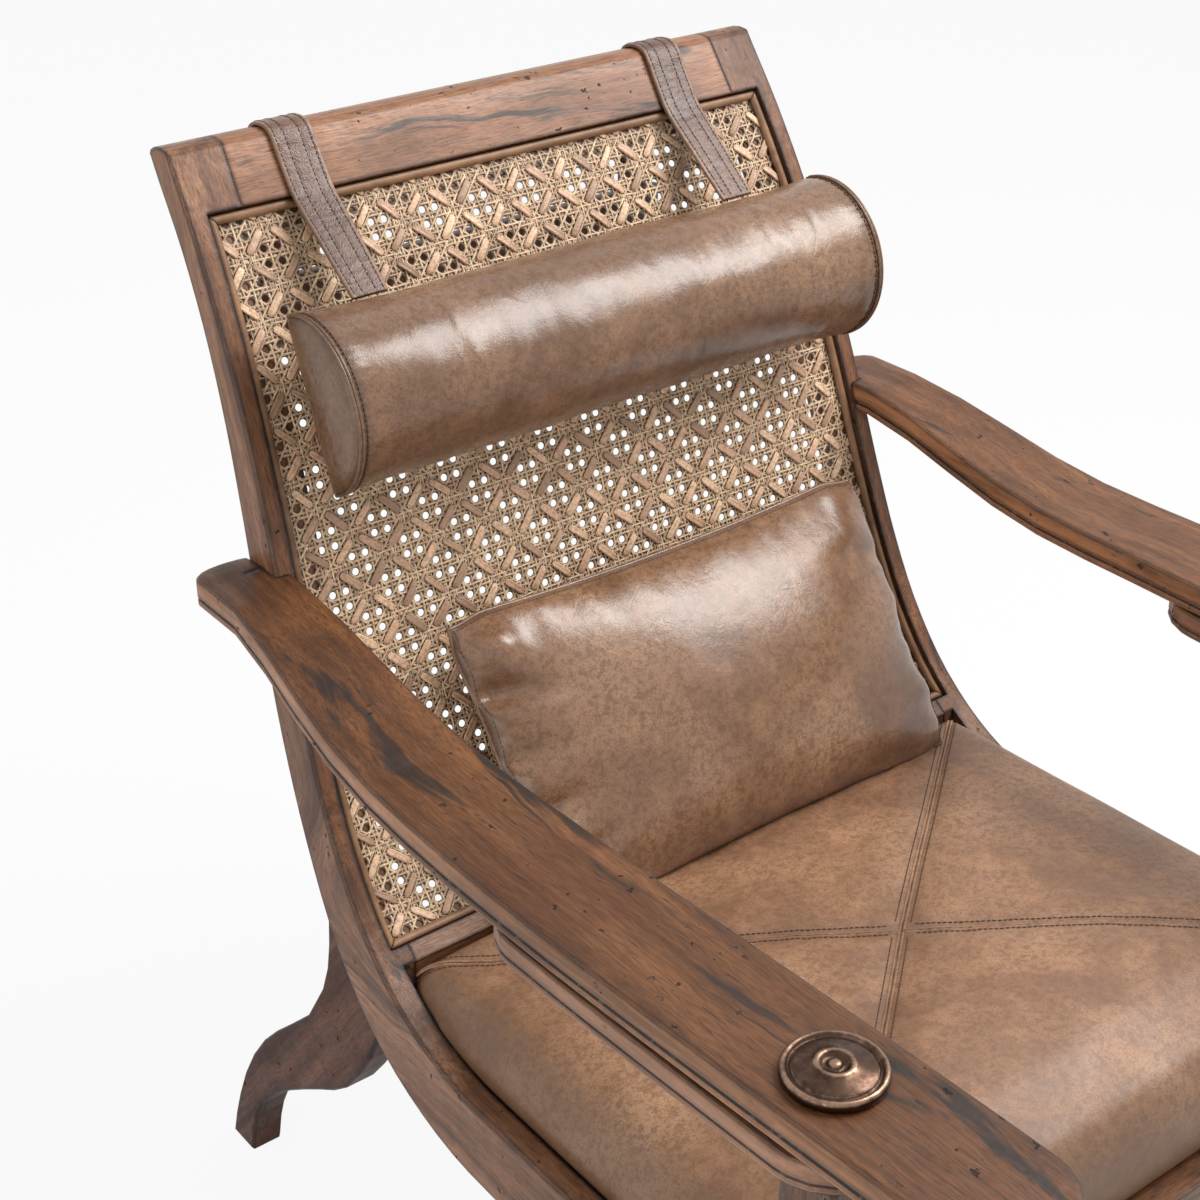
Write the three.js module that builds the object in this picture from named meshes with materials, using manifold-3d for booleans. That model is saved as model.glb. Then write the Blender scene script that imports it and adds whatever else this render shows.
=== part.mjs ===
// Planters chair: leaning cane back, long dipped arms, leg-rest boards that swing out from under the arms.
// Millimetres, Z up, back of the chair towards +Y, the sitter looks towards -Y.
import * as THREE from "three";
import { mergeVertices, toCreasedNormals } from "three/addons/utils/BufferGeometryUtils.js";
import Module from "manifold-3d";

const wasm = await Module();
wasm.setup();

// Driving sizes of the whole chair
const chairHeight = 943;
const floorHalfWidth = 360.1;
const sideLean = 0.0626;
const fitGap = 0.3;

// Side frames: stile above, seat rail below, in one leaning plane
const sideThickness = 33;
const stileHeadThickness = 48;
const railDepth = 70;
const frontLip = 17;
const caneRebateDepth = 11;
const ledgeDepth = 16;
const ledgeReach = 22;
const seatLip = 21;
const seatRebateDepth = 12;
const arrisChamfer = 2;

// Legs
const rearLegSetBack = 2;
const rearLegThickness = 31;
const frontLegThickness = 34;
const tenonThickness = 11;
const tenonLength = 28;
const tenonShoulder = 9;

// Arms and leg-rest boards
const armThickness = 26;
const armTailRound = 24;
const armFrontRound = 44;
const boardThickness = 22;
const boardReach = 297;
const boardTail = 47;
const boardSeat = 1.1;
const boardClearance = 0.6;

// Pivot stack
const pinDiameter = 16;
const pinClearance = 0.5;
const collarDiameter = 60;
const collarThickness = 13;
const washerDiameter = 40;
const pinSink = 50;
const rosetteDiameter = 66;
const rosetteHeight = 11;
const rosetteSocket = 5;

// Cane, bead and fixings
const caneThickness = 2;
const caneCell = 42;
const caneGapShare = 0.33;
const curveGap = 0.5;
const beadWidth = 8.5;
const beadHeight = 5.4;
const dowelDiameter = 10;
const dowelLength = 32;

// Seat frame
const frontRailThickness = 33;
const lowerRailThickness = 34;
const deckThickness = 9;
const bearerWidth = 18;
const blockLeg = 30;
const blockHeight = 22;

// Leather
const padCrown = 52;
const padSoftGap = 0.6;
const lumbarWidth = 466;
const lumbarHeight = 275;
const lumbarThickness = 122;
const lumbarShiftX = 30;
const lumbarBackGap = 0.7;
const bolsterSideGap = 12.4;
const bolsterRadius = 70.5;
const bolsterBackDepth = 44.4;
const bolsterFlare = 4;
const bolsterBulge = 5;
const bolsterShiftX = 6;
const strapWidth = 47;
const strapEndWidth = 32.4;
const strapThickness = 3.4;
const strapSpreadShare = 0.536;
const strapSpread = strapSpreadShare * floorHalfWidth;
const counterweightEnd = 9.5;
const counterweightLength = 2 * (strapSpread + strapWidth / 2 + counterweightEnd);
const counterweightHeight = 64;
const counterweightThickness = 18;

// Curves as shares of the chair height: distance behind the seat corner, height
const sideCurveShares = [
  [0.3473, 1.0265],
  [0.3294, 0.9983],
  [0.2867, 0.9357],
  [0.2485, 0.8704],
  [0.2147, 0.8024],
  [0.1854, 0.7327],
  [0.1596, 0.6614],
  [0.1353, 0.5896],
  [0.1084, 0.5188],
  [0.0744, 0.4511],
  [0.0283, 0.3912],
  [-0.0324, 0.3464],
  [-0.1040, 0.3230],
  [-0.1794, 0.3192],
  [-0.2551, 0.3192],
  [-0.3310, 0.3192],
  [-0.4067, 0.3192],
  [-0.4825, 0.3192],
];
// Depth of the side frame at the same stations, as shares of the rail depth
const sideDepthShares = [
  0.42, 0.42, 0.395, 0.41, 0.47, 0.55, 0.61, 0.635, 0.65, 0.685, 0.80, 0.915, 0.97, 1, 1, 1, 1, 1,
];
const rollShares = [
  [0.3241, 0.9905],
  [0.3280, 0.9961],
  [0.3335, 0.9992],
  [0.3431, 1.0000],
  [0.3526, 0.9985],
  [0.3584, 0.9949],
  [0.3601, 0.9899],
  [0.3573, 0.9830],
];
const rearLegBackShares = [
  [0.0975, 0.3945],
  [0.0914, 0.3738],
  [0.0912, 0.3457],
  [0.0940, 0.3183],
  [0.1033, 0.2874],
  [0.1294, 0.2407],
  [0.1601, 0.2105],
  [0.1885, 0.1835],
  [0.2131, 0.1564],
  [0.2349, 0.1246],
  [0.2519, 0.0912],
  [0.2641, 0.0581],
  [0.2725, 0.0286],
  [0.2783, 0.0000],
];
const rearLegFrontShares = [
  [0.2402, 0.0000],
  [0.2363, 0.0286],
  [0.2299, 0.0520],
  [0.2211, 0.0717],
  [0.2084, 0.0885],
  [0.1919, 0.1050],
  [0.1662, 0.1265],
  [0.1389, 0.1463],
  [0.1103, 0.1660],
  [0.0859, 0.1819],
  [0.0643, 0.2000],
  [0.0444, 0.2269],
  [0.0251, 0.2579],
  [0.0102, 0.2916],
  [0.0000, 0.3499],
];
const frontLegBackShares = [
  [-0.5186, 0.5716],
  [-0.5164, 0.5355],
  [-0.5148, 0.4931],
  [-0.5101, 0.4507],
  [-0.5016, 0.4083],
  [-0.4915, 0.3712],
  [-0.4825, 0.3415],
  [-0.4825, 0.2354],
  [-0.4878, 0.2057],
  [-0.5058, 0.1697],
  [-0.5366, 0.1326],
  [-0.5695, 0.0954],
  [-0.5938, 0.0583],
  [-0.6066, 0.0265],
  [-0.6119, 0.0000],
];
const frontLegFrontShares = [
  [-0.6511, 0.0000],
  [-0.6458, 0.0265],
  [-0.6352, 0.0583],
  [-0.6193, 0.0901],
  [-0.5992, 0.1251],
  [-0.5822, 0.1612],
  [-0.5705, 0.2015],
  [-0.5652, 0.2439],
  [-0.5642, 0.2916],
  [-0.5663, 0.3393],
  [-0.5695, 0.3871],
  [-0.5716, 0.4348],
  [-0.5716, 0.4825],
  [-0.5695, 0.5302],
  [-0.5673, 0.5716],
];

// Arm stations: distance behind the seat corner and top height as shares of the chair height,
// inner and outer edge as shares of the half width at the floor
const armShares = [
  [0.2300, 0.6710, 0.8470, 1.0358],
  [0.2121, 0.6760, 0.8470, 1.0340],
  [0.1697, 0.6787, 0.8512, 1.0289],
  [0.1273, 0.6766, 0.8525, 1.0372],
  [0.0848, 0.6702, 0.8512, 1.0497],
  [0.0424, 0.6612, 0.8484, 1.0650],
  [0.0000, 0.6516, 0.8470, 1.0755],
  [-0.0424, 0.6437, 0.8456, 1.0858],
  [-0.0848, 0.6389, 0.8442, 1.0927],
  [-0.1273, 0.6373, 0.8428, 1.0983],
  [-0.2121, 0.6379, 0.8387, 1.1052],
  [-0.3181, 0.6389, 0.8303, 1.1025],
  [-0.4242, 0.6400, 0.8192, 1.0919],
  [-0.5302, 0.6410, 0.8081, 1.0789],
  [-0.6363, 0.6416, 0.7998, 1.0636],
  [-0.7300, 0.6416, 0.7942, 1.0490],
];
const armTailShare = 0.2248;
const armFrontShare = -0.7211;
const armMouldingShares = [
  [0.19, 0],
  [0.08, 0.02],
  [0.02, 0.08],
  [0, 0.19],
  [0, 0.60],
  [0.08, 0.64],
  [0.08, 0.70],
  [0.02, 0.74],
  [0, 0.83],
  [0.02, 0.92],
  [0.10, 1],
];
const pivotAcrossShare = 0.9497;
const pivotAlongShare = -0.5430;

// Facets along the soft pieces
const padColumns = 20;
const padRows = 18;
const lumbarColumns = 18;
const lumbarRows = 12;
const strapPieces = 38;
const bolsterFrontPieces = 12;
const bolsterBackPieces = 6;

// Turned rosette: radius as shares of its radius, height as shares of its height
const rosetteShares = [
  [0.94, 0],
  [1, 0.14],
  [1, 0.50],
  [0.955, 0.68],
  [0.89, 0.72],
  [0.84, 0.54],
  [0.79, 0.66],
  [0.47, 0.78],
  [0.41, 0.96],
  [0.35, 1],
  [0.29, 0.86],
  [0.19, 0.72],
  [0.12, 0.78],
  [0.10, 0.92],
  [0, 0.98],
];
const beadShares = [
  [0, 0],
  [1, 0],
  [0.96, 0.48],
  [0.80, 0.83],
  [0.50, 1],
  [0.20, 0.83],
  [0.04, 0.48],
];
const openingTopShare = 0.9520;
const openingBottomShare = 0.3772;
const seatBackShare = 0.0008;
const padFrontShare = -0.5340;
const frontRailBackShare = -0.5164;
const railFootShare = 0.2450;
const frontRailFootShare = 0.2420;
const armDowelShare = 0.6640;
const bolsterShare = 0.2085;
const bolsterDropShare = 0.0042;
// Along half of the headrest: place, then depth behind the seam plane
const bolsterBackShares = [
  [0, 1],
  [0.45, 1],
  [0.72, 0.96],
  [0.83, 0.86],
  [0.90, 0.70],
  [0.95, 0.50],
  [0.985, 0.26],
  [1, 0.05],
];
// Over the end panel: size, then how much of the bulge
const bolsterEndShares = [
  [0.94, 0.42],
  [0.74, 0.82],
  [0.36, 1],
];
const bolsterEndCentreShare = 0.42;
const strapTaperShare = 0.42;
const lumbarRestShare = 0.3689;
const lumbarLeanDegrees = 33;
const strapTopShares = [
  [0.3212, 0.9925],
  [0.3255, 0.9984],
  [0.3322, 1.0026],
  [0.3431, 1.0028],
  [0.3537, 1.0011],
  [0.3611, 0.9966],
  [0.3631, 0.9899],
  [0.3636, 0.9809],
  [0.3640, 0.9544],
  [0.3640, 0.9014],
];
const strapFootShare = 0.8515;

// Plain helpers
function lengthPair(pair) {
  return [pair[0] * chairHeight, pair[1] * chairHeight];
}

function signedVolume(geometry) {
  const position = geometry.getAttribute("position");
  const index = geometry.getIndex();
  const a = new THREE.Vector3();
  const b = new THREE.Vector3();
  const c = new THREE.Vector3();
  let total = 0;
  for (let i = 0; i < index.count; i += 3) {
    a.fromBufferAttribute(position, index.getX(i));
    b.fromBufferAttribute(position, index.getX(i + 1));
    c.fromBufferAttribute(position, index.getX(i + 2));
    total += a.dot(b.cross(c));
  }
  return total;
}

function faceOutward(geometry) {
  if (signedVolume(geometry) < 0) {
    const index = geometry.getIndex();
    for (let i = 0; i < index.count; i += 3) {
      const keep = index.getX(i);
      index.setX(i, index.getX(i + 1));
      index.setX(i + 1, keep);
    }
  }
  return geometry;
}

function bodyFrom(points, triangles) {
  const geometry = new THREE.BufferGeometry();
  const flat = points.flatMap((p) => [p.x, p.y, p.z]);
  geometry.setAttribute("position", new THREE.Float32BufferAttribute(flat, 3));
  geometry.setIndex(triangles.flat());
  return faceOutward(geometry);
}

function ringNormalAxis(ring) {
  const normal = new THREE.Vector3();
  ring.forEach((p, i) => {
    const q = ring[(i + 1) % ring.length];
    normal.x += (p.y - q.y) * (p.z + q.z);
    normal.y += (p.z - q.z) * (p.x + q.x);
    normal.z += (p.x - q.x) * (p.y + q.y);
  });
  const sizes = [Math.abs(normal.x), Math.abs(normal.y), Math.abs(normal.z)];
  return sizes.indexOf(Math.max(...sizes));
}

function capTriangles(ring, offset, forward) {
  const axis = ringNormalAxis(ring);
  const flat = ring.map((p) => {
    const values = [p.x, p.y, p.z];
    values.splice(axis, 1);
    return new THREE.Vector2(values[0], values[1]);
  });
  const contourSign = Math.sign(THREE.ShapeUtils.area(flat));
  return THREE.ShapeUtils.triangulateShape(flat, []).map(([i, j, k]) => {
    const sign = Math.sign(THREE.ShapeUtils.area([flat[i], flat[j], flat[k]]));
    const along = sign === contourSign;
    const order = along === forward ? [i, j, k] : [k, j, i];
    return order.map((n) => n + offset);
  });
}

// Closed body through rings of equal length with flat ends
function loft(rings) {
  const count = rings[0].length;
  const triangles = [];
  for (let i = 0; i < rings.length - 1; i += 1) {
    for (let j = 0; j < count; j += 1) {
      const next = (j + 1) % count;
      const a = i * count + j;
      const b = i * count + next;
      const c = (i + 1) * count + next;
      const d = (i + 1) * count + j;
      triangles.push([a, b, c], [a, c, d]);
    }
  }
  triangles.push(...capTriangles(rings[0], 0, false));
  triangles.push(...capTriangles(rings[rings.length - 1], (rings.length - 1) * count, true));
  return bodyFrom(rings.flat(), triangles);
}

function turned(profile, segments, x, y, z) {
  const points = profile.map(([radius, height]) => new THREE.Vector2(radius, height));
  const lathe = new THREE.LatheGeometry(points, segments);
  lathe.rotateX(Math.PI / 2);
  lathe.translate(x, y, z);
  lathe.deleteAttribute("normal");
  lathe.deleteAttribute("uv");
  return faceOutward(mergeVertices(lathe, fitGap / 100));
}

function rod(radius, low, high, x, y, segments) {
  return turned([[0, low], [radius, low], [radius, high], [0, high]], segments, x, y, 0);
}

function ringPiece(inner, outer, low, high, x, y, segments) {
  return turned([[inner, low], [outer, low], [outer, high], [inner, high], [inner, low]], segments, x, y, 0);
}

function block(x0, x1, y0, y1, z0, z1) {
  const geometry = new THREE.BoxGeometry(Math.abs(x1 - x0), Math.abs(y1 - y0), Math.abs(z1 - z0));
  geometry.translate((x0 + x1) / 2, (y0 + y1) / 2, (z0 + z1) / 2);
  geometry.deleteAttribute("normal");
  geometry.deleteAttribute("uv");
  return mergeVertices(geometry, fitGap / 100);
}

function solid(geometry) {
  const vertProperties = new Float32Array(geometry.getAttribute("position").array);
  const triVerts = new Uint32Array(geometry.getIndex().array);
  return new wasm.Manifold(new wasm.Mesh({ numProp: 3, vertProperties, triVerts }));
}

function geometryOf(body) {
  const mesh = body.getMesh();
  const geometry = new THREE.BufferGeometry();
  const triples = [];
  for (let i = 0; i < mesh.vertProperties.length; i += mesh.numProp) {
    triples.push(mesh.vertProperties[i], mesh.vertProperties[i + 1], mesh.vertProperties[i + 2]);
  }
  geometry.setAttribute("position", new THREE.Float32BufferAttribute(triples, 3));
  geometry.setIndex(Array.from(mesh.triVerts));
  return geometry;
}

// The side frame's curve; the X of each control point carries the depth there
const sideCurve = new THREE.CatmullRomCurve3(
  sideCurveShares.map((pair, i) => {
    const [y, z] = lengthPair(pair);
    return new THREE.Vector3(sideDepthShares[i] * railDepth, y, z);
  }),
  false,
  "centripetal",
);
sideCurve.arcLengthDivisions = 900;
const sideLength = sideCurve.getLength();

function sideStation(arc) {
  const share = THREE.MathUtils.clamp(arc / sideLength, 0, 1);
  const point = sideCurve.getPointAt(share);
  const tangent = sideCurve.getTangentAt(share);
  const size = Math.hypot(tangent.y, tangent.z);
  return {
    depth: point.x,
    y: point.y,
    z: point.z,
    backY: -tangent.z / size,
    backZ: tangent.y / size,
  };
}

function arcAtHeight(height) {
  let low = 0;
  let high = sideLength * (sideCurveShares.length - 6) / sideCurveShares.length;
  for (let i = 0; i < 50; i += 1) {
    const middle = (low + high) / 2;
    if (sideStation(middle).z > height) {
      low = middle;
    } else {
      high = middle;
    }
  }
  return (low + high) / 2;
}

function outerFace(z) {
  return floorHalfWidth - sideLean * z;
}

function behindCurve(arc, depth) {
  const s = sideStation(arc);
  return [s.y + s.backY * depth, s.z + s.backZ * depth];
}

function sidePoint(side, arc, across, depth) {
  const [y, z] = behindCurve(arc, depth);
  return new THREE.Vector3(side * (outerFace(z) - across), y, z);
}

function evenSteps(start, end, step) {
  const count = Math.max(1, Math.round(Math.abs(end - start) / step));
  return Array.from({ length: count + 1 }, (_, i) => start + (end - start) * i / count);
}

// Every piece that follows the curve bends at the same stations
const openingTopArc = arcAtHeight(openingTopShare * chairHeight);
const openingBottomArc = arcAtHeight(openingBottomShare * chairHeight);
const caneRows = Math.round((openingBottomArc - openingTopArc) / caneCell);
const caneStep = (openingBottomArc - openingTopArc) / caneRows / 2;
const straightArc = sideLength * (sideCurveShares.length - 5) / sideCurveShares.length;
const curveArcs = [
  ...evenSteps(0, openingTopArc, caneStep),
  ...evenSteps(openingTopArc, openingBottomArc, caneStep),
  ...evenSteps(openingBottomArc, straightArc, caneStep * 0.8),
  ...evenSteps(straightArc, sideLength, caneStep * 4),
];

function arcsBetween(start, end) {
  const low = Math.min(start, end);
  const high = Math.max(start, end);
  const near = caneStep / 10;
  const kept = curveArcs.filter((arc) => arc > low + near && arc < high - near);
  const unique = kept.filter((arc, i) => i === 0 || arc - kept[i - 1] > near);
  const list = [low, ...unique, high];
  return start < end ? list : list.reverse();
}

function sideRibbon(side, start, end, section) {
  return loft(arcsBetween(start, end).map((arc) => {
    const depth = sideStation(arc).depth;
    return section(depth).map(([across, back]) => sidePoint(side, arc, across, back));
  }));
}

function boxSection(acrossNear, acrossFar, front, back) {
  return (depth) => [
    [acrossNear, front],
    [acrossFar, front],
    [acrossFar, back(depth)],
    [acrossNear, back(depth)],
  ];
}

// Flat outline in the side plane, given as pairs of Y and Z, cut from a leaning plank
function leaningPlank(side, outline, near, far, chamfer) {
  const inside = insetOutline(outline, chamfer);
  const layer = (pairs, across) => pairs.map(([y, z]) => {
    return new THREE.Vector3(side * (outerFace(z) - across), y, z);
  });
  return loft([
    layer(inside, near),
    layer(outline, near + chamfer),
    layer(outline, far - chamfer),
    layer(inside, far),
  ]);
}

function uprightPlank(side, outline, near, far, chamfer) {
  const inside = insetOutline(outline, chamfer);
  const layer = (pairs, x) => pairs.map(([y, z]) => new THREE.Vector3(side * x, y, z));
  return loft([
    layer(inside, near),
    layer(outline, near + chamfer),
    layer(outline, far - chamfer),
    layer(inside, far),
  ]);
}

function insetOutline(outline, inset) {
  const area = THREE.ShapeUtils.area(outline.map(([u, v]) => new THREE.Vector2(u, v)));
  const turn = Math.sign(area);
  return outline.map(([u, v], i) => {
    const before = outline[(i + outline.length - 1) % outline.length];
    const after = outline[(i + 1) % outline.length];
    const one = new THREE.Vector2(u - before[0], v - before[1]).normalize();
    const two = new THREE.Vector2(after[0] - u, after[1] - v).normalize();
    const normal = new THREE.Vector2(-(one.y + two.y) * turn, (one.x + two.x) * turn);
    const spread = Math.max(normal.length(), 1);
    const reach = inset * 2 / spread / spread;
    return [u + normal.x * reach, v + normal.y * reach];
  });
}

// Outline in Y and Z carried right across the chair between two leaning faces
function crossPiece(outline, across) {
  const end = (sign) => outline.map(([y, z]) => {
    return new THREE.Vector3(sign * (outerFace(z) - across), y, z);
  });
  return loft([end(-1), end(1)]);
}

const curveEndArc = sideLength - fitGap;
const seatBackY = seatBackShare * chairHeight;
const railTop = sideStation(sideLength).z;
const rebateFloor = railTop - seatRebateDepth;

const rollPairs = rollShares.map(lengthPair);
const trimOutline = [
  [-chairHeight, -chairHeight / 10],
  [-chairHeight, rollPairs[0][1]],
  ...rollPairs,
  [chairHeight / 2, rollPairs[rollPairs.length - 1][1] - railDepth],
  [chairHeight / 2, -chairHeight / 10],
];

const pivotX = pivotAcrossShare * floorHalfWidth;
const pivotY = pivotAlongShare * chairHeight;
const legInner = pivotX - frontLegThickness / 2;
const legOuter = pivotX + frontLegThickness / 2;
const railEndY = sideStation(sideLength).y;
const tenonTop = rebateFloor - tenonShoulder;
const tenonFoot = railTop - railDepth + tenonShoulder;
const tenonOuter = outerFace(railTop) - (outerFace(railTop) - legInner) / 2 + tenonThickness / 2;
const tenonInner = tenonOuter - tenonThickness;

const dowelHeight = armDowelShare * chairHeight;
const dowelArc = arcAtHeight(dowelHeight + railDepth / 5);
const dowelDepth = sideStation(dowelArc).depth / 2;
const [dowelY, dowelZ] = behindCurve(dowelArc, dowelDepth);

function dowelBar(side, radius, length) {
  const x = outerFace(dowelZ);
  const bar = new THREE.CylinderGeometry(radius, radius, length, 14);
  bar.rotateZ(Math.PI / 2);
  bar.translate(side * x, dowelY, dowelZ);
  bar.deleteAttribute("normal");
  bar.deleteAttribute("uv");
  return faceOutward(mergeVertices(bar, fitGap / 100));
}

function sideFrame(side) {
  const c = arrisChamfer;
  const t = sideThickness;
  const outerSection = (depth) => [[c, 0], [t, 0], [t, depth], [c, depth], [0, depth - c], [0, c]];
  const head = stileHeadThickness;
  const overlap = arrisChamfer / 2;
  const ledgeStart = openingTopArc - overlap;
  const ledgeEnd = openingBottomArc - ledgeReach - fitGap;
  let body = solid(sideRibbon(side, 0, curveEndArc, outerSection));
  const headSection = boxSection(t - overlap, head, 0, (depth) => depth);
  body = body.add(solid(sideRibbon(side, 0, openingTopArc, headSection)));
  const ledgeBack = () => caneRebateDepth + ledgeDepth;
  const ledgeSection = boxSection(t - overlap, head, caneRebateDepth, ledgeBack);
  body = body.add(solid(sideRibbon(side, ledgeStart, ledgeEnd, ledgeSection)));
  const rebateSection = boxSection(frontLip, head + railDepth, -railDepth, () => caneRebateDepth);
  body = body.subtract(solid(sideRibbon(side, openingTopArc, openingBottomArc, rebateSection)));
  const seatCut = [
    [railEndY - railDepth, rebateFloor],
    [seatBackY, rebateFloor],
    [seatBackY, rebateFloor + chairHeight / 4],
    [railEndY - railDepth, rebateFloor + chairHeight / 4],
  ];
  body = body.subtract(solid(leaningPlank(side, seatCut, seatLip, seatLip + railDepth, 0.01 * c)));
  body = body.intersect(solid(leaningPlank(side, trimOutline, -railDepth, railDepth * 2, 0.01 * c)));
  const tenonTip = railEndY - tenonLength;
  const tenonRoot = railEndY + arrisChamfer;
  const tenon = block(side * tenonInner, side * tenonOuter, tenonTip, tenonRoot, tenonFoot, tenonTop);
  body = body.add(solid(tenon));
  body = body.subtract(solid(dowelBar(side, dowelDiameter / 2 + fitGap, dowelLength + fitGap * 2)));
  return geometryOf(body);
}

function rearLeg(side) {
  const outline = [...rearLegBackShares, ...rearLegFrontShares].map(lengthPair);
  const near = rearLegSetBack;
  const far = rearLegSetBack + rearLegThickness;
  const clear = boxSection(-railDepth, railDepth * 2, -railDepth, (depth) => depth + fitGap);
  const plank = solid(leaningPlank(side, outline, near, far, arrisChamfer));
  return geometryOf(plank.subtract(solid(sideRibbon(side, openingTopArc, curveEndArc, clear))));
}

function frontLeg(side) {
  const outline = [...frontLegBackShares, ...frontLegFrontShares].map((pair) => {
    const [y, z] = lengthPair(pair);
    return [y, Math.min(z, legTop)];
  });
  let body = solid(uprightPlank(side, outline, legInner, legOuter, arrisChamfer));
  const mortise = block(
    side * (tenonInner - fitGap),
    side * (tenonOuter + fitGap),
    railEndY - tenonLength - fitGap * 2,
    railEndY + railDepth,
    tenonFoot - fitGap,
    tenonTop + fitGap,
  );
  body = body.subtract(solid(mortise));
  const crossMortise = block(
    side * (legInner - railDepth),
    side * (legInner + crossTenonReach + fitGap),
    crossTenonY - tenonThickness / 2 - fitGap,
    crossTenonY + tenonThickness / 2 + fitGap,
    crossTenonFoot - fitGap,
    crossTenonTop + fitGap,
  );
  body = body.subtract(solid(crossMortise));
  const bore = pinDiameter / 2 + fitGap;
  const boreFloor = legTop - pinSink;
  body = body.subtract(solid(rod(bore, boreFloor, legTop + railDepth, side * pivotX, pivotY, 20)));
  return geometryOf(body);
}

// Front seat rail with a tenon into each front leg
const frontRailBack = frontRailBackShare * chairHeight;
const frontRailFront = frontRailBack - frontRailThickness;
const frontRailFoot = frontRailFootShare * chairHeight;
const crossTenonReach = sideThickness * 0.4;
const crossTenonY = (frontRailBack + frontRailFront) / 2;
const crossTenonFoot = frontRailFoot + tenonShoulder;
const crossTenonTop = rebateFloor - tenonShoulder;

function frontSeatRail() {
  const end = legInner - fitGap;
  let body = solid(block(-end, end, frontRailFront, frontRailBack, frontRailFoot, rebateFloor));
  const tip = legInner + crossTenonReach;
  const near = crossTenonY - tenonThickness / 2;
  const far = crossTenonY + tenonThickness / 2;
  body = body.add(solid(block(-tip, tip, near, far, crossTenonFoot, crossTenonTop)));
  return geometryOf(body);
}

// Arms and boards share one plan; the edges run as smooth curves through the stations
const armCurve = new THREE.CatmullRomCurve3(
  armShares.map(([y, z]) => new THREE.Vector3(0, y * chairHeight, z * chairHeight)),
  false,
  "centripetal",
);

function armAt(y) {
  let low = 0;
  let high = 1;
  for (let i = 0; i < 40; i += 1) {
    const middle = (low + high) / 2;
    if (armCurve.getPoint(middle).y > y) {
      low = middle;
    } else {
      high = middle;
    }
  }
  const top = armCurve.getPoint(low).z;
  const row = low * (armShares.length - 1);
  const first = Math.min(Math.floor(row), armShares.length - 2);
  const rest = row - first;
  const blend = (k) => {
    const before = armShares[Math.max(first - 1, 0)][k];
    const a = armShares[first][k];
    const b = armShares[first + 1][k];
    const after = armShares[Math.min(first + 2, armShares.length - 1)][k];
    const slopeA = (b - before) / 2;
    const slopeB = (after - a) / 2;
    const cubic = 2 * a - 2 * b + slopeA + slopeB;
    const square = 3 * b - 3 * a - 2 * slopeA - slopeB;
    return (((cubic * rest + square) * rest + slopeA) * rest + a) * floorHalfWidth;
  };
  return { top, inner: blend(2), outer: blend(3) };
}

function planStations(tail, front, tailRound, frontRound, middleCount, endCount) {
  const stations = [];
  const tailStart = tail - tailRound;
  const frontStart = front + frontRound;
  for (let i = 0; i < endCount; i += 1) {
    const angle = Math.PI / 2 * (i + 0.35) / endCount;
    stations.push([tail - tailRound * (1 - Math.cos(angle)), Math.sin(angle)]);
  }
  for (let i = 0; i <= middleCount; i += 1) {
    stations.push([tailStart + (frontStart - tailStart) * i / middleCount, 1]);
  }
  for (let i = endCount - 1; i >= 0; i -= 1) {
    const angle = Math.PI / 2 * (i + 0.35) / endCount;
    stations.push([front + frontRound * (1 - Math.cos(angle)), Math.sin(angle)]);
  }
  return stations;
}

function mouldedBoard(side, stations, thickness, topAt) {
  const outline = [];
  stations.forEach(([y, share]) => {
    const { inner, outer } = armAt(y);
    const centre = (inner + outer) / 2;
    outline.push([centre - (outer - inner) / 2 * share, y]);
  });
  [...stations].reverse().forEach(([y, share]) => {
    const { inner, outer } = armAt(y);
    const centre = (inner + outer) / 2;
    outline.push([centre + (outer - inner) / 2 * share, y]);
  });
  const rings = armMouldingShares.map(([insetShare, dropShare]) => {
    return insetOutline(outline, insetShare * thickness).map(([x, y]) => {
      return new THREE.Vector3(side * x, y, topAt(y) - dropShare * thickness);
    });
  });
  const count = outline.length;
  const half = count / 2;
  const triangles = [];
  for (let i = 0; i < rings.length - 1; i += 1) {
    for (let j = 0; j < count; j += 1) {
      const next = (j + 1) % count;
      const a = i * count + j;
      const b = i * count + next;
      const c = (i + 1) * count + next;
      const d = (i + 1) * count + j;
      triangles.push([a, b, c], [a, c, d]);
    }
  }
  const last = (rings.length - 1) * count;
  for (let j = 0; j < half - 1; j += 1) {
    const mirror = count - 1 - j;
    triangles.push([j, mirror, mirror - 1], [j, mirror - 1, j + 1]);
    triangles.push([last + mirror, last + j, last + j + 1], [last + mirror, last + j + 1, last + mirror - 1]);
  }
  return bodyFrom(rings.flat(), triangles);
}

const armTail = armTailShare * chairHeight;
const armFront = armFrontShare * chairHeight;
const boardSpan = evenSteps(pivotY - boardTail, pivotY + boardReach, caneCell / 2);
const armFootOverBoard = Math.min(...boardSpan.map((y) => armAt(y).top)) - armThickness;
const boardTop = armFootOverBoard - boardClearance;
const boardFoot = boardTop - boardThickness;
const armTopAtPivot = armAt(pivotY).top;
const armFootAtPivot = armTopAtPivot - armThickness;
const collarTop = boardFoot - boardSeat - fitGap * 2;
const legTop = collarTop - collarThickness - fitGap;

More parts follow.
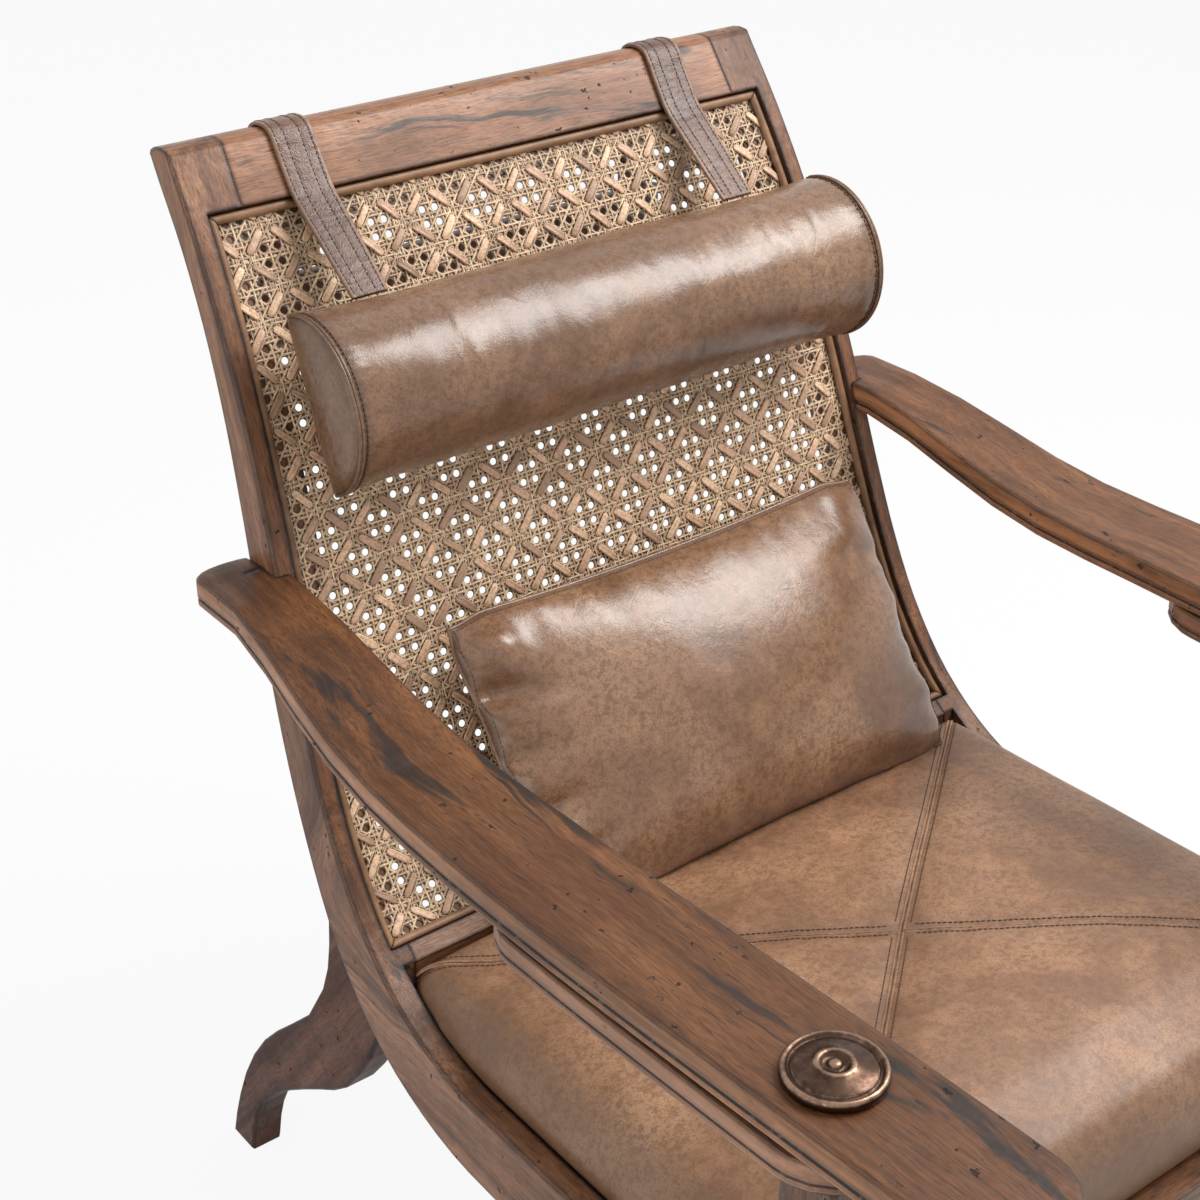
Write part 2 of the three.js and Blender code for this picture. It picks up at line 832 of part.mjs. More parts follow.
function arm(side) {
  const stations = planStations(armTail, armFront, armTailRound, armFrontRound, 15, 5);
  let body = solid(mouldedBoard(side, stations, armThickness, (y) => armAt(y).top));
  const high = arcAtHeight(armTopAtPivot + armThickness * 4);
  const low = arcAtHeight(armTopAtPivot - armThickness * 4);
  const clear = boxSection(-fitGap, railDepth * 2, -fitGap, () => railDepth * 4);
  body = body.subtract(solid(sideRibbon(side, high, low, clear)));
  const bore = pinDiameter / 2 + fitGap;
  const reach = armThickness * 2;
  body = body.subtract(
    solid(rod(bore, armTopAtPivot - reach, armTopAtPivot + reach, side * pivotX, pivotY, 20)),
  );
  body = body.subtract(solid(dowelBar(side, dowelDiameter / 2 + fitGap, dowelLength + fitGap * 2)));
  return geometryOf(body);
}

function legRestBoard(side) {
  const tail = pivotY + boardReach;
  const front = pivotY - boardTail;
  const stations = planStations(tail, front, boardTail, boardTail, 6, 5);
  const board = solid(mouldedBoard(side, stations, boardThickness, () => boardTop));
  const bore = pinDiameter / 2 + pinClearance;
  const cut = rod(bore, boardFoot - railDepth, boardTop + railDepth, side * pivotX, pivotY, 20);
  return geometryOf(board.subtract(solid(cut)));
}

function rosette(side) {
  const radius = rosetteDiameter / 2;
  const socket = pinDiameter / 2 + pinClearance;
  const seat = armTopAtPivot + fitGap * 2;
  const profile = [
    [0, rosetteSocket],
    [socket, rosetteSocket],
    [socket, 0],
    ...rosetteShares.map(([r, h]) => [r * radius, h * rosetteHeight]),
  ];
  return turned(profile, 26, side * pivotX, pivotY, seat);
}

function pivotPin(side) {
  const top = armTopAtPivot + fitGap * 2 + rosetteSocket - fitGap;
  const foot = legTop - pinSink + fitGap;
  return rod(pinDiameter / 2, foot, top, side * pivotX, pivotY, 20);
}

function collar(side) {
  const inner = pinDiameter / 2 + pinClearance;
  const outer = collarDiameter / 2;
  const soft = arrisChamfer;
  const low = legTop + fitGap;
  const profile = [
    [inner, low],
    [outer - soft, low],
    [outer, low + soft],
    [outer, collarTop - soft],
    [outer - soft, collarTop],
    [inner, collarTop],
    [inner, low],
  ];
  return turned(profile, 26, side * pivotX, pivotY, 0);
}

function washerBelow(side) {
  const inner = pinDiameter / 2 + pinClearance;
  const low = collarTop + fitGap;
  return ringPiece(inner, washerDiameter / 2, low, low + boardSeat, side * pivotX, pivotY, 22);
}

function washerAbove(side) {
  const inner = pinDiameter / 2 + pinClearance;
  const low = boardTop + fitGap;
  const high = armFootAtPivot - fitGap * 1.7;
  return ringPiece(inner, washerDiameter / 2, low, high, side * pivotX, pivotY, 22);
}

function armDowel(side) {
  return dowelBar(side, dowelDiameter / 2, dowelLength);
}

// Crest rail between the stile heads, rolled over at the top, with a ledge behind the cane
const crestTopArc = arcAtHeight(sideCurveShares[1][1] * chairHeight);

function crestRail() {
  const faceTop = arcAtHeight(rollPairs[0][1] - arrisChamfer);
  const front = arcsBetween(openingTopArc, faceTop).map((arc) => behindCurve(arc, 0));
  const back = arcsBetween(crestTopArc, openingTopArc + ledgeReach).map((arc) => {
    return behindCurve(arc, sideStation(arc).depth);
  });
  const outline = [
    ...front,
    ...rollPairs,
    ...back,
    behindCurve(openingTopArc + ledgeReach, caneRebateDepth),
    behindCurve(openingTopArc, caneRebateDepth),
  ];
  return crossPiece(outline, stileHeadThickness + fitGap);
}

// Lower back rail under the cane, with an upright face behind the seat pad
function lowerBackRail() {
  const foot = railFootShare * chairHeight;
  const faceFoot = arcAtHeight(sideStation(openingBottomArc).z - railDepth / 7);
  const low = behindCurve(openingBottomArc - ledgeReach, caneRebateDepth + ledgeDepth);
  const outline = [
    behindCurve(openingBottomArc, 0),
    behindCurve(faceFoot, 0),
    [seatBackY + fitGap, behindCurve(faceFoot, 0)[1] - arrisChamfer],
    [seatBackY + fitGap, foot],
    [seatBackY + lowerRailThickness, foot],
    [seatBackY + lowerRailThickness, low[1] - railDepth * 0.75],
    [low[0], low[1] - railDepth / 4],
    low,
    behindCurve(openingBottomArc - ledgeReach, caneRebateDepth),
    behindCurve(openingBottomArc, caneRebateDepth),
  ];
  return crossPiece(outline, sideThickness + fitGap);
}

// Half-round bead, mitred at the four corners
const beadBase = caneRebateDepth - caneThickness - curveGap * 2;

function sideBead(side) {
  const start = openingTopArc + fitGap * 2;
  const end = openingBottomArc - fitGap * 2;
  const arcs = arcsBetween(start, end);
  return loft(arcs.map((middleArc) => beadShares.map(([w, h]) => {
    const width = w * beadWidth;
    const arc = THREE.MathUtils.clamp(middleArc, start + width, end - width);
    return sidePoint(side, arc, frontLip + fitGap + width, beadBase - h * beadHeight);
  })));
}

function crossBead(edgeArc, inward) {
  const end = (sign) => beadShares.map(([w, h]) => {
    const width = w * beadWidth;
    const arc = edgeArc + inward * (fitGap + width);
    const across = frontLip + fitGap * 3 + width;
    return sidePoint(sign, arc, across, beadBase - h * beadHeight);
  });
  return loft([end(-1), end(1)]);
}

// Cane: an open sheet along the curve, one diamond gap in every other square
function canePanel() {
  const front = beadBase + curveGap;
  const back = front + caneThickness;
  const start = openingTopArc + fitGap;
  const end = openingBottomArc - fitGap;
  const topHalf = outerFace(sideStation(start).z) - frontLip - fitGap;
  const columns = Math.round(topHalf * 2 / caneCell);
  const place = (u, v, depth) => {
    const arc = THREE.MathUtils.clamp(openingTopArc + v * caneStep * 2, start, end);
    const [y, z] = behindCurve(arc, depth);
    const half = outerFace(z) - frontLip - fitGap;
    return new THREE.Vector3((u / columns * 2 - 1) * half, y, z);
  };
  const soup = [];
  const addBoth = (a, b, c) => {
    soup.push(place(...a, front), place(...b, front), place(...c, front));
    soup.push(place(...c, back), place(...b, back), place(...a, back));
  };
  const addWall = (a, b) => {
    soup.push(place(...a, front), place(...b, front), place(...b, back));
    soup.push(place(...a, front), place(...b, back), place(...a, back));
  };
  for (let i = 0; i < columns; i += 1) {
    for (let j = 0; j < caneRows; j += 1) {
      const u = i + 0.5;
      const v = j + 0.5;
      const c0 = [i, j];
      const c1 = [i, j + 1];
      const c2 = [i + 1, j + 1];
      const c3 = [i + 1, j];
      const m0 = [i, v];
      const m2 = [i + 1, v];
      if ((i + j) % 2 === 0) {
        const d0 = [u - caneGapShare, v];
        const d1 = [u, v + caneGapShare];
        const d2 = [u + caneGapShare, v];
        const d3 = [u, v - caneGapShare];
        addBoth(c0, m0, d0);
        addBoth(m0, c1, d0);
        addBoth(c1, d1, d0);
        addBoth(c1, c2, d1);
        addBoth(c2, d2, d1);
        addBoth(c2, m2, d2);
        addBoth(m2, c3, d2);
        addBoth(c3, d3, d2);
        addBoth(c3, c0, d3);
        addBoth(c0, d0, d3);
        addWall(d0, d1);
        addWall(d1, d2);
        addWall(d2, d3);
        addWall(d3, d0);
      } else {
        addBoth(c0, m0, m2);
        addBoth(c0, m2, c3);
        addBoth(m0, c1, c2);
        addBoth(m0, c2, m2);
      }
      if (i === 0) {
        addWall(m0, c0);
        addWall(c1, m0);
      }
      if (i === columns - 1) {
        addWall(m2, c2);
        addWall(c3, m2);
      }
      if (j === 0) {
        addWall(c0, c3);
      }
      if (j === caneRows - 1) {
        addWall(c2, c1);
      }
    }
  }
  const geometry = new THREE.BufferGeometry();
  const flat = soup.flatMap((p) => [p.x, p.y, p.z]);
  geometry.setAttribute("position", new THREE.Float32BufferAttribute(flat, 3));
  return faceOutward(mergeVertices(geometry, fitGap / 100));
}

// Seat deck, bearers and corner blocks inside the seat frame
const padFloor = rebateFloor + padSoftGap;
const deckTop = rebateFloor;
const deckFoot = deckTop - deckThickness;
const bearerTop = deckFoot - fitGap;

function seatDeck() {
  const front = frontRailBack + fitGap;
  const back = seatBackY;
  const outline = [[front, deckFoot], [back, deckFoot], [back, deckTop], [front, deckTop]];
  return crossPiece(outline, sideThickness + fitGap);
}

function bearer(side) {
  const foot = bearerTop - bearerWidth;
  const front = railEndY + bearerWidth;
  const back = seatBackY - bearerWidth;
  const outline = [[front, foot], [back, foot], [back, bearerTop], [front, bearerTop]];
  const near = sideThickness + fitGap;
  return leaningPlank(side, outline, near, near + bearerWidth, arrisChamfer / 4);
}

function cornerBlock(side, cornerX, cornerY, direction) {
  const top = bearerTop - bearerWidth - fitGap;
  const low = top - blockHeight;
  const plan = [[0, 0], [blockLeg, 0], [0, blockLeg]];
  const layer = (z) => plan.map(([inward, along]) => {
    return new THREE.Vector3(side * (cornerX - inward), cornerY + direction * along, z);
  });
  return loft([layer(low), layer(top)]);
}

function rearBlock(side) {
  const low = bearerTop - bearerWidth - fitGap;
  return cornerBlock(side, outerFace(low) - sideThickness - fitGap, seatBackY, -1);
}

function frontBlock(side) {
  return cornerBlock(side, legInner - fitGap, frontRailBack + fitGap, 1);
}

// A cube of points from -1 to 1 on each axis, mapped to a soft body
function softBody(countU, countV, countW, map) {
  const cube = new THREE.BoxGeometry(2, 2, 2, countU, countV, countW);
  cube.deleteAttribute("normal");
  cube.deleteAttribute("uv");
  const merged = mergeVertices(cube, 0.001);
  const position = merged.getAttribute("position");
  for (let i = 0; i < position.count; i += 1) {
    const p = map(position.getX(i), position.getY(i), position.getZ(i));
    position.setXYZ(i, p.x, p.y, p.z);
  }
  return faceOutward(merged);
}

function tableAt(table, value) {
  for (let i = 0; i < table.length - 1; i += 1) {
    const [a, left] = table[i];
    const [b, right] = table[i + 1];
    if (value <= b) {
      const share = THREE.MathUtils.clamp((value - a) / (b - a), 0, 1);
      return left + (right - left) * share * share * (3 - 2 * share);
    }
  }
  return table[table.length - 1][1];
}

// Seat pad: drop-in leather seat, crowned towards the front, crossed seams drawn in
const padCrownShares = [[0, 0], [0.5, 0.66], [0.8, 1], [0.93, 0.86], [1, 0.30]];
const padSideShares = [[-1, 0.05], [-0.5, 0], [0, 0.02], [0.5, 0.04], [1, 0.17]];
const padRiseShares = [[-1, 0], [-0.5, 0.16], [0, 0.46], [0.5, 0.80], [1, 1]];
const padEdgeRise = chairHeight * 0.0595;
const padCornerRadius = chairHeight * 0.022;
const padSeamDip = padCrown * 0.08;
const padSeamWidth = 0.07;

function seatPad() {
  const front = padFrontShare * chairHeight;
  const back = seatBackY - padSoftGap;
  const halfLength = (back - front) / 2;
  const centreY = (back + front) / 2;
  return softBody(padColumns, padRows, 4, (u, v, w) => {
    const inset = tableAt(padSideShares, w) * padEdgeRise;
    const along = (1 + v) / 2;
    const rise = tableAt(padRiseShares, w);
    const seam = Math.exp(-(((Math.abs(u) - Math.abs(v)) / padSeamWidth) ** 2));
    const edge = Math.min(1, (1 - Math.max(Math.abs(u), Math.abs(v))) * 6);
    const crown = padCrown * tableAt(padCrownShares, along) * (1 - Math.abs(u) ** 3);
    const top = padEdgeRise + (w > 0.99 ? crown * Math.min(1, (1 - Math.max(-v, 0)) * 3) - padSeamDip * seam * edge : 0);
    const z = padFloor + rise * (w > 0.99 ? top : padEdgeRise);
    const halfWidth = outerFace(z) - seatLip - padSoftGap - inset;
    const length = halfLength - inset;
    const radius = padCornerRadius;
    let dx = u * halfWidth;
    let dy = -v * length;
    const coreX = THREE.MathUtils.clamp(dx, radius - halfWidth, halfWidth - radius);
    const coreY = THREE.MathUtils.clamp(dy, radius - length, length - radius);
    const restX = dx - coreX;
    const restY = dy - coreY;
    const rest = Math.hypot(restX, restY);
    if (rest > 0) {
      const reach = Math.max(Math.abs(restX), Math.abs(restY)) / rest;
      dx = coreX + restX * reach;
      dy = coreY + restY * reach;
    }
    return new THREE.Vector3(dx, centreY + dy, z);
  });
}

// Lumbar cushion: two crowned faces meeting in a knife edge, sides drawn in between the corners
function lumbarCushion() {
  const lean = THREE.MathUtils.degToRad(lumbarLeanDegrees);
  const edge = arrisChamfer * 0.8;
  const centreZ = lumbarRestShare * chairHeight + Math.cos(lean) * lumbarHeight / 2;
  const centreY = Math.min(...evenSteps(-1, 1, 1 / lumbarRows).map((v) => {
    const easeV = Math.sin(v * Math.PI / 2) * 0.35 + v * 0.65;
    const up = easeV * 0.93 * lumbarHeight / 2;
    const out = edge + (1 - Math.abs(easeV) ** 2.4) ** 0.62 * (lumbarThickness / 2 - edge);
    const backZ = centreZ + up * Math.cos(lean) - out * Math.sin(lean);
    const faceRise = sideStation(arcAtHeight(backZ)).backZ * (beadBase + curveGap);
    const caneFace = behindCurve(arcAtHeight(backZ - faceRise), beadBase + curveGap);
    return caneFace[0] - lumbarBackGap - up * Math.sin(lean) - out * Math.cos(lean);
  }));
  return softBody(lumbarColumns, lumbarRows, 1, (u, v, w) => {
    const easeU = Math.sin(u * Math.PI / 2) * 0.35 + u * 0.65;
    const easeV = Math.sin(v * Math.PI / 2) * 0.35 + v * 0.65;
    const drawU = 1 - 0.05 * (1 - easeV * easeV);
    const drawV = 1 - 0.07 * (1 - easeU * easeU);
    const swell = ((1 - Math.abs(easeU) ** 2.6) * (1 - Math.abs(easeV) ** 2.4)) ** 0.62;
    const x = easeU * drawU * lumbarWidth / 2;
    const up = easeV * drawV * lumbarHeight / 2;
    const out = w * (edge + swell * (lumbarThickness / 2 - edge));
    return new THREE.Vector3(
      lumbarShiftX + x,
      centreY + up * Math.sin(lean) - out * Math.cos(lean),
      centreZ + up * Math.cos(lean) + out * Math.sin(lean),
    );
  });
}

// Headrest lying against the cane: half round in front, its back drawn flat towards the end panels
const bolsterArc = sideLength * bolsterShare + bolsterDropShare * chairHeight;
const bolsterFace = beadBase + curveGap;
const bolsterCentre = behindCurve(bolsterArc, bolsterFace - bolsterBackDepth - padSoftGap);
const bolsterBack = new THREE.Vector2(sideStation(bolsterArc).backY, sideStation(bolsterArc).backZ);
const bolsterUp = new THREE.Vector2(-bolsterBack.y, bolsterBack.x);

function bolsterRing(x, place, size) {
  const rise = (bolsterRadius + bolsterFlare * place ** 6) * size;
  const front = bolsterRadius * size;
  const back = bolsterBackDepth * tableAt(bolsterBackShares, place) * size;
  const middle = -bolsterRadius * (1 - size) * bolsterEndCentreShare;
  const frontTurns = evenSteps(0, Math.PI, Math.PI / bolsterFrontPieces);
  const backTurns = evenSteps(Math.PI, 2 * Math.PI, Math.PI / bolsterBackPieces).slice(1, -1);
  return [...frontTurns, ...backTurns].map((turn) => {
    const up = Math.cos(turn) * rise;
    const behind = middle - Math.sin(turn) * (turn > Math.PI ? back : front);
    return new THREE.Vector3(
      bolsterShiftX + x,
      bolsterCentre[0] + bolsterUp.x * up + bolsterBack.x * behind,
      bolsterCentre[1] + bolsterUp.y * up + bolsterBack.y * behind,
    );
  });
}

function bolster() {
  const half = outerFace(bolsterCentre[1]) - frontLip - beadWidth - bolsterSideGap;
  const along = bolsterBackShares.map(([place]) => place);
  const body = [...along.slice(1).reverse().map((place) => -place), ...along];
  const panel = (sign) => bolsterEndShares.map(([size, bulge]) => bolsterRing(sign * (half + bulge * bolsterBulge), 1, size));
  return loft([
    ...panel(-1).reverse(),
    ...body.map((place) => bolsterRing(place * half, Math.abs(place), 1)),
    ...panel(1),
  ]);
}

// Straps run from the bolster up the face of the crest, over the roll and down behind the back
function strap(side) {
  const off = strapThickness / 2 + padSoftGap * 1.4;
  const touch = behindCurve(openingTopArc, -off);
  const reach = bolsterRadius + strapThickness / 4 + fitGap;
  const start = [bolsterCentre[0] + bolsterUp.x * reach, bolsterCentre[1] + bolsterUp.y * reach];
  const faceTop = arcAtHeight(rollPairs[0][1] - arrisChamfer * 4);
  const face = evenSteps(openingTopArc, faceTop, caneStep / 2).map((arc) => behindCurve(arc, -off));
  const over = strapTopShares.map(lengthPair);
  const last = over[over.length - 1];
  const path = [start, [(start[0] + touch[0]) / 2, (start[1] + touch[1]) / 2], ...face, ...over];
  path.push([last[0], strapFootShare * chairHeight]);
  const curve = new THREE.CatmullRomCurve3(
    path.map(([y, z]) => new THREE.Vector3(0, y, z)),
    false,
    "centripetal",
  );
  const centre = side * strapSpread;
  const steps = evenSteps(0, 1, 1 / strapPieces);
  return loft(steps.map((share) => {
    const p = curve.getPointAt(share);
    const t = curve.getTangentAt(share);
    const ny = -t.z * strapThickness / 2;
    const nz = t.y * strapThickness / 2;
    const taper = Math.max(0, 1 - share / strapTaperShare);
    const half = (strapWidth - (strapWidth - strapEndWidth) * taper) / 2;
    return [
      new THREE.Vector3(centre - half, p.y + ny, p.z + nz),
      new THREE.Vector3(centre + half, p.y + ny, p.z + nz),
      new THREE.Vector3(centre + half, p.y - ny, p.z - nz),
      new THREE.Vector3(centre - half, p.y - ny, p.z - nz),
    ];
  }));
}

// Weighted sleeve that balances the headrest behind the back
function counterweight() {
  const last = lengthPair(strapTopShares[strapTopShares.length - 1]);
  const top = strapFootShare * chairHeight - fitGap;
  const half = counterweightThickness / 2;
  const soft = counterweightThickness / 4;
  const section = [
    [-half, -soft],
    [-half + soft, 0],
    [half - soft, 0],
    [half, -soft],
    [half, -counterweightHeight + soft],
    [half - soft, -counterweightHeight],
    [-half + soft, -counterweightHeight],
    [-half, -counterweightHeight + soft],
  ];
  const centre = last[0] + half - strapThickness / 2;
  const end = (x) => section.map(([y, z]) => new THREE.Vector3(x, centre + y, top + z));
  return loft([end(-counterweightLength / 2), end(counterweightLength / 2)]);
}

// Named pieces with their materials
const walnut = { color: 0x6b4630, roughness: 0.55, metalness: 0 };
const darkWalnut = { color: 0x553624, roughness: 0.6, metalness: 0 };
const beadWood = { color: 0x9a7040, roughness: 0.5, metalness: 0 };
const cane = { color: 0xb08a5c, roughness: 0.7, metalness: 0 };
const leather = { color: 0x75563c, roughness: 0.4, metalness: 0 };
const strapLeather = { color: 0x5c4030, roughness: 0.5, metalness: 0 };
const bronze = { color: 0x4a3226, roughness: 0.45, metalness: 0.7 };
const brass = { color: 0xa98a4c, roughness: 0.35, metalness: 0.9 };
const plywood = { color: 0xa98358, roughness: 0.8, metalness: 0 };
const crease = Math.PI / 6;
const softCrease = Math.PI / 2.4;

const pieces = [
  ["crest_rail", crestRail(), walnut, crease],
  ["lower_back_rail", lowerBackRail(), walnut, crease],
  ["front_seat_rail", frontSeatRail(), walnut, crease],
  ["bead_top", crossBead(openingTopArc, 1), beadWood, softCrease],
  ["bead_bottom", crossBead(openingBottomArc, -1), beadWood, softCrease],
  ["cane_panel", canePanel(), cane, crease],
  ["seat_deck", seatDeck(), plywood, crease],
  ["seat_pad", seatPad(), leather, softCrease],
  ["lumbar_cushion", lumbarCushion(), leather, softCrease],
  ["headrest_bolster", bolster(), leather, softCrease],
  ["headrest_counterweight", counterweight(), strapLeather, crease],
];
for (const [word, side] of [["left", -1], ["right", 1]]) {
  pieces.push(
    [`side_frame_${word}`, sideFrame(side), walnut, crease],
    [`rear_leg_${word}`, rearLeg(side), walnut, crease],
    [`front_leg_${word}`, frontLeg(side), walnut, crease],
    [`arm_${word}`, arm(side), walnut, crease],
    [`leg_rest_${word}`, legRestBoard(side), walnut, crease],
    [`rosette_${word}`, rosette(side), bronze, softCrease],
    [`pivot_pin_${word}`, pivotPin(side), brass, softCrease],
    [`leg_collar_${word}`, collar(side), darkWalnut, crease],
    [`washer_below_${word}`, washerBelow(side), brass, crease],
    [`washer_above_${word}`, washerAbove(side), brass, crease],
    [`arm_dowel_${word}`, armDowel(side), plywood, crease],
    [`bead_${word}`, sideBead(side), beadWood, softCrease],
    [`seat_bearer_${word}`, bearer(side), plywood, crease],
    [`rear_block_${word}`, rearBlock(side), plywood, crease],
    [`front_block_${word}`, frontBlock(side), plywood, crease],
    [`headrest_strap_${word}`, strap(side), strapLeather, crease],
  );
}

// Origin under the middle of the whole chair, on the floor
const bounds = new THREE.Box3();
pieces.forEach(([, geometry]) => {
  geometry.computeBoundingBox();
  bounds.union(geometry.boundingBox);
});
const middle = bounds.getCenter(new THREE.Vector3());
const group = new THREE.Group();
group.name = "planters_chair";
pieces.forEach(([name, geometry, look, angle]) => {
  geometry.translate(-middle.x, -middle.y, -bounds.min.z);
  const material = new THREE.MeshStandardMaterial({ ...look, name });
  const mesh = new THREE.Mesh(toCreasedNormals(geometry, angle), material);
  mesh.name = name;
  group.add(mesh);
});

export default group;
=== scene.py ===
"""Planters chair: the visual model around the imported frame, laid out as an add-on.

Metres, in the frame's own axes: +Z up, +Y towards the chair's back, the sitter looks towards -Y.
"""

import math
import random

import bpy
import numpy as np
from mathutils import Euler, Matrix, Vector, noise


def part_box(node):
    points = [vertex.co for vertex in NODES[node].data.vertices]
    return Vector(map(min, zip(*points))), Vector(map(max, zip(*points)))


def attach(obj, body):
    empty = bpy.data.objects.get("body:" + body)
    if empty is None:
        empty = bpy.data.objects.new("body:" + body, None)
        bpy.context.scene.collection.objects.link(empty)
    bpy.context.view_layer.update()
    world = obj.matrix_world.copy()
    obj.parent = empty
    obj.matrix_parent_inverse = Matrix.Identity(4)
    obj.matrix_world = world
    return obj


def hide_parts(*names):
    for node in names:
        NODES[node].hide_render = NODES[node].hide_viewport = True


bl_info = {
    "name": "Planters Chair",
    "version": (1, 0, 0),
    "blender": (4, 5, 0),
    "location": "3D View > Sidebar > Planters Chair",
    "description": "Dresses the planters chair: worn walnut, woven cane, leather and bronze",
    "category": "Add Mesh",
}

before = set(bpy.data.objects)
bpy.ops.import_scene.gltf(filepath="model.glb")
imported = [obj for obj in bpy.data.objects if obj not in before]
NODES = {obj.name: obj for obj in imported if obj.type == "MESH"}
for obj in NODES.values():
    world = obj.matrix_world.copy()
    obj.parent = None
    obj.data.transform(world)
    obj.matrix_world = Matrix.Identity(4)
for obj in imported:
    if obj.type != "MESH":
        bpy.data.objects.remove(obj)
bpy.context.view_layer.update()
SIDES = {"left": -1.0, "right": 1.0}

# The side frames lean in: half width at the floor and its loss per metre of height
HALF_WIDTH = 0.3601
SIDE_LEAN = 0.0626


def outer_face(z):
    return HALF_WIDTH - SIDE_LEAN * z


def smooth_step(low, high, value):
    t = min(1.0, max(0.0, (value - low) / (high - low)))
    return t * t * (3.0 - 2.0 * t)


def table_at(table, x):
    """Smooth reading of a table of (place, value) rows."""
    if x <= table[0][0]:
        return table[0][1]
    for (x0, y0), (x1, y1) in zip(table, table[1:]):
        if x <= x1:
            return y0 + (y1 - y0) * smooth_step(x0, x1, x)
    return table[-1][1]


# ---------------------------------------------------------------------------
# Finishes
# ---------------------------------------------------------------------------


class Finish:
    """One procedural material and short ways to add its nodes."""

    def __init__(self, name, roughness=0.5, specular=0.5, metallic=0.0, coat=0.0, coat_roughness=0.2):
        self.material = bpy.data.materials.new(name)
        self.material.use_nodes = True
        self.tree = self.material.node_tree
        self.shader = self.tree.nodes["Principled BSDF"]
        self.shader.inputs["Roughness"].default_value = roughness
        self.shader.inputs["Specular IOR Level"].default_value = specular
        self.shader.inputs["Metallic"].default_value = metallic
        self.shader.inputs["Coat Weight"].default_value = coat
        self.shader.inputs["Coat Roughness"].default_value = coat_roughness

    def add(self, kind, options=None, **values):
        node = self.tree.nodes.new(kind)
        for name, value in (options or {}).items():
            setattr(node, name, value)
        for name, value in values.items():
            self.put(node.inputs[name.replace("_", " ")], value)
        return node

    def put(self, socket, value):
        if isinstance(value, bpy.types.NodeSocket):
            self.tree.links.new(value, socket)
        else:
            socket.default_value = value

    def place(self):
        return self.add("ShaderNodeTexCoord").outputs["Object"]

    def math(self, operation, a, b=0.0):
        node = self.add("ShaderNodeMath", {"operation": operation})
        self.put(node.inputs[0], a)
        self.put(node.inputs[1], b)
        return node.outputs[0]

    def vector(self, operation, a, b):
        node = self.add("ShaderNodeVectorMath", {"operation": operation})
        self.put(node.inputs[0], a)
        self.put(node.inputs[1], b)
        return node.outputs["Value" if operation == "DOT_PRODUCT" else "Vector"]

    def combine(self, x, y, z):
        return self.add("ShaderNodeCombineXYZ", X=x, Y=y, Z=z).outputs[0]

    def noise(self, vector, scale, detail=4.0, rough=0.55, warp=0.0):
        node = self.add(
            "ShaderNodeTexNoise", Vector=vector, Scale=scale, Detail=detail, Roughness=rough, Distortion=warp
        )
        return node.outputs["Fac"]

    def cells(self, vector, scale, feature="F1"):
        node = self.add("ShaderNodeTexVoronoi", {"feature": feature}, Vector=vector, Scale=scale)
        return node.outputs["Distance"]

    def between(self, value, low, high, to_low=0.0, to_high=1.0):
        node = self.add("ShaderNodeMapRange", {"interpolation_type": "SMOOTHSTEP"}, Value=value)
        self.put(node.inputs["From Min"], low)
        self.put(node.inputs["From Max"], high)
        self.put(node.inputs["To Min"], to_low)
        self.put(node.inputs["To Max"], to_high)
        return node.outputs[0]

    def ramp(self, value, stops):
        node = self.add("ShaderNodeValToRGB", Fac=value)
        band = node.color_ramp
        while len(band.elements) < len(stops):
            band.elements.new(0.5)
        for element, (position, colour) in zip(band.elements, stops):
            element.position = position
            element.color = (*colour, 1.0)
        return node.outputs["Color"]

    def mix(self, share, a, b):
        node = self.add("ShaderNodeMix", {"data_type": "RGBA"})
        for socket, value in zip((node.inputs[0], node.inputs[6], node.inputs[7]), (share, a, b)):
            if isinstance(value, tuple) and len(value) == 3:
                value = (*value, 1.0)
            self.put(socket, value)
        return node.outputs[2]

    def bump(self, height, depth, under=None):
        values = {"Height": height, "Distance": depth, "Strength": 1.0}
        if under is not None:
            values["Normal"] = under
        return self.add("ShaderNodeBump", **values).outputs[0]

    def finish(self, colour, rough=None, normal=None):
        self.put(self.shader.inputs["Base Color"], (*colour, 1.0) if isinstance(colour, tuple) else colour)
        if rough is not None:
            self.put(self.shader.inputs["Roughness"], rough)
        if normal is not None:
            self.put(self.shader.inputs["Normal"], normal)
        return self.material


def shade(colour, factor):
    return tuple(min(1.0, part * factor) for part in colour)


# Colours of age on the wood: smoke in the grain, pits, rubbed arrises, nicks down to bare wood
SMOKE = (0.020, 0.015, 0.013)
PIT = (0.012, 0.009, 0.008)
RUBBED = (0.020, 0.018, 0.019)
BARE = (0.24, 0.19, 0.17)


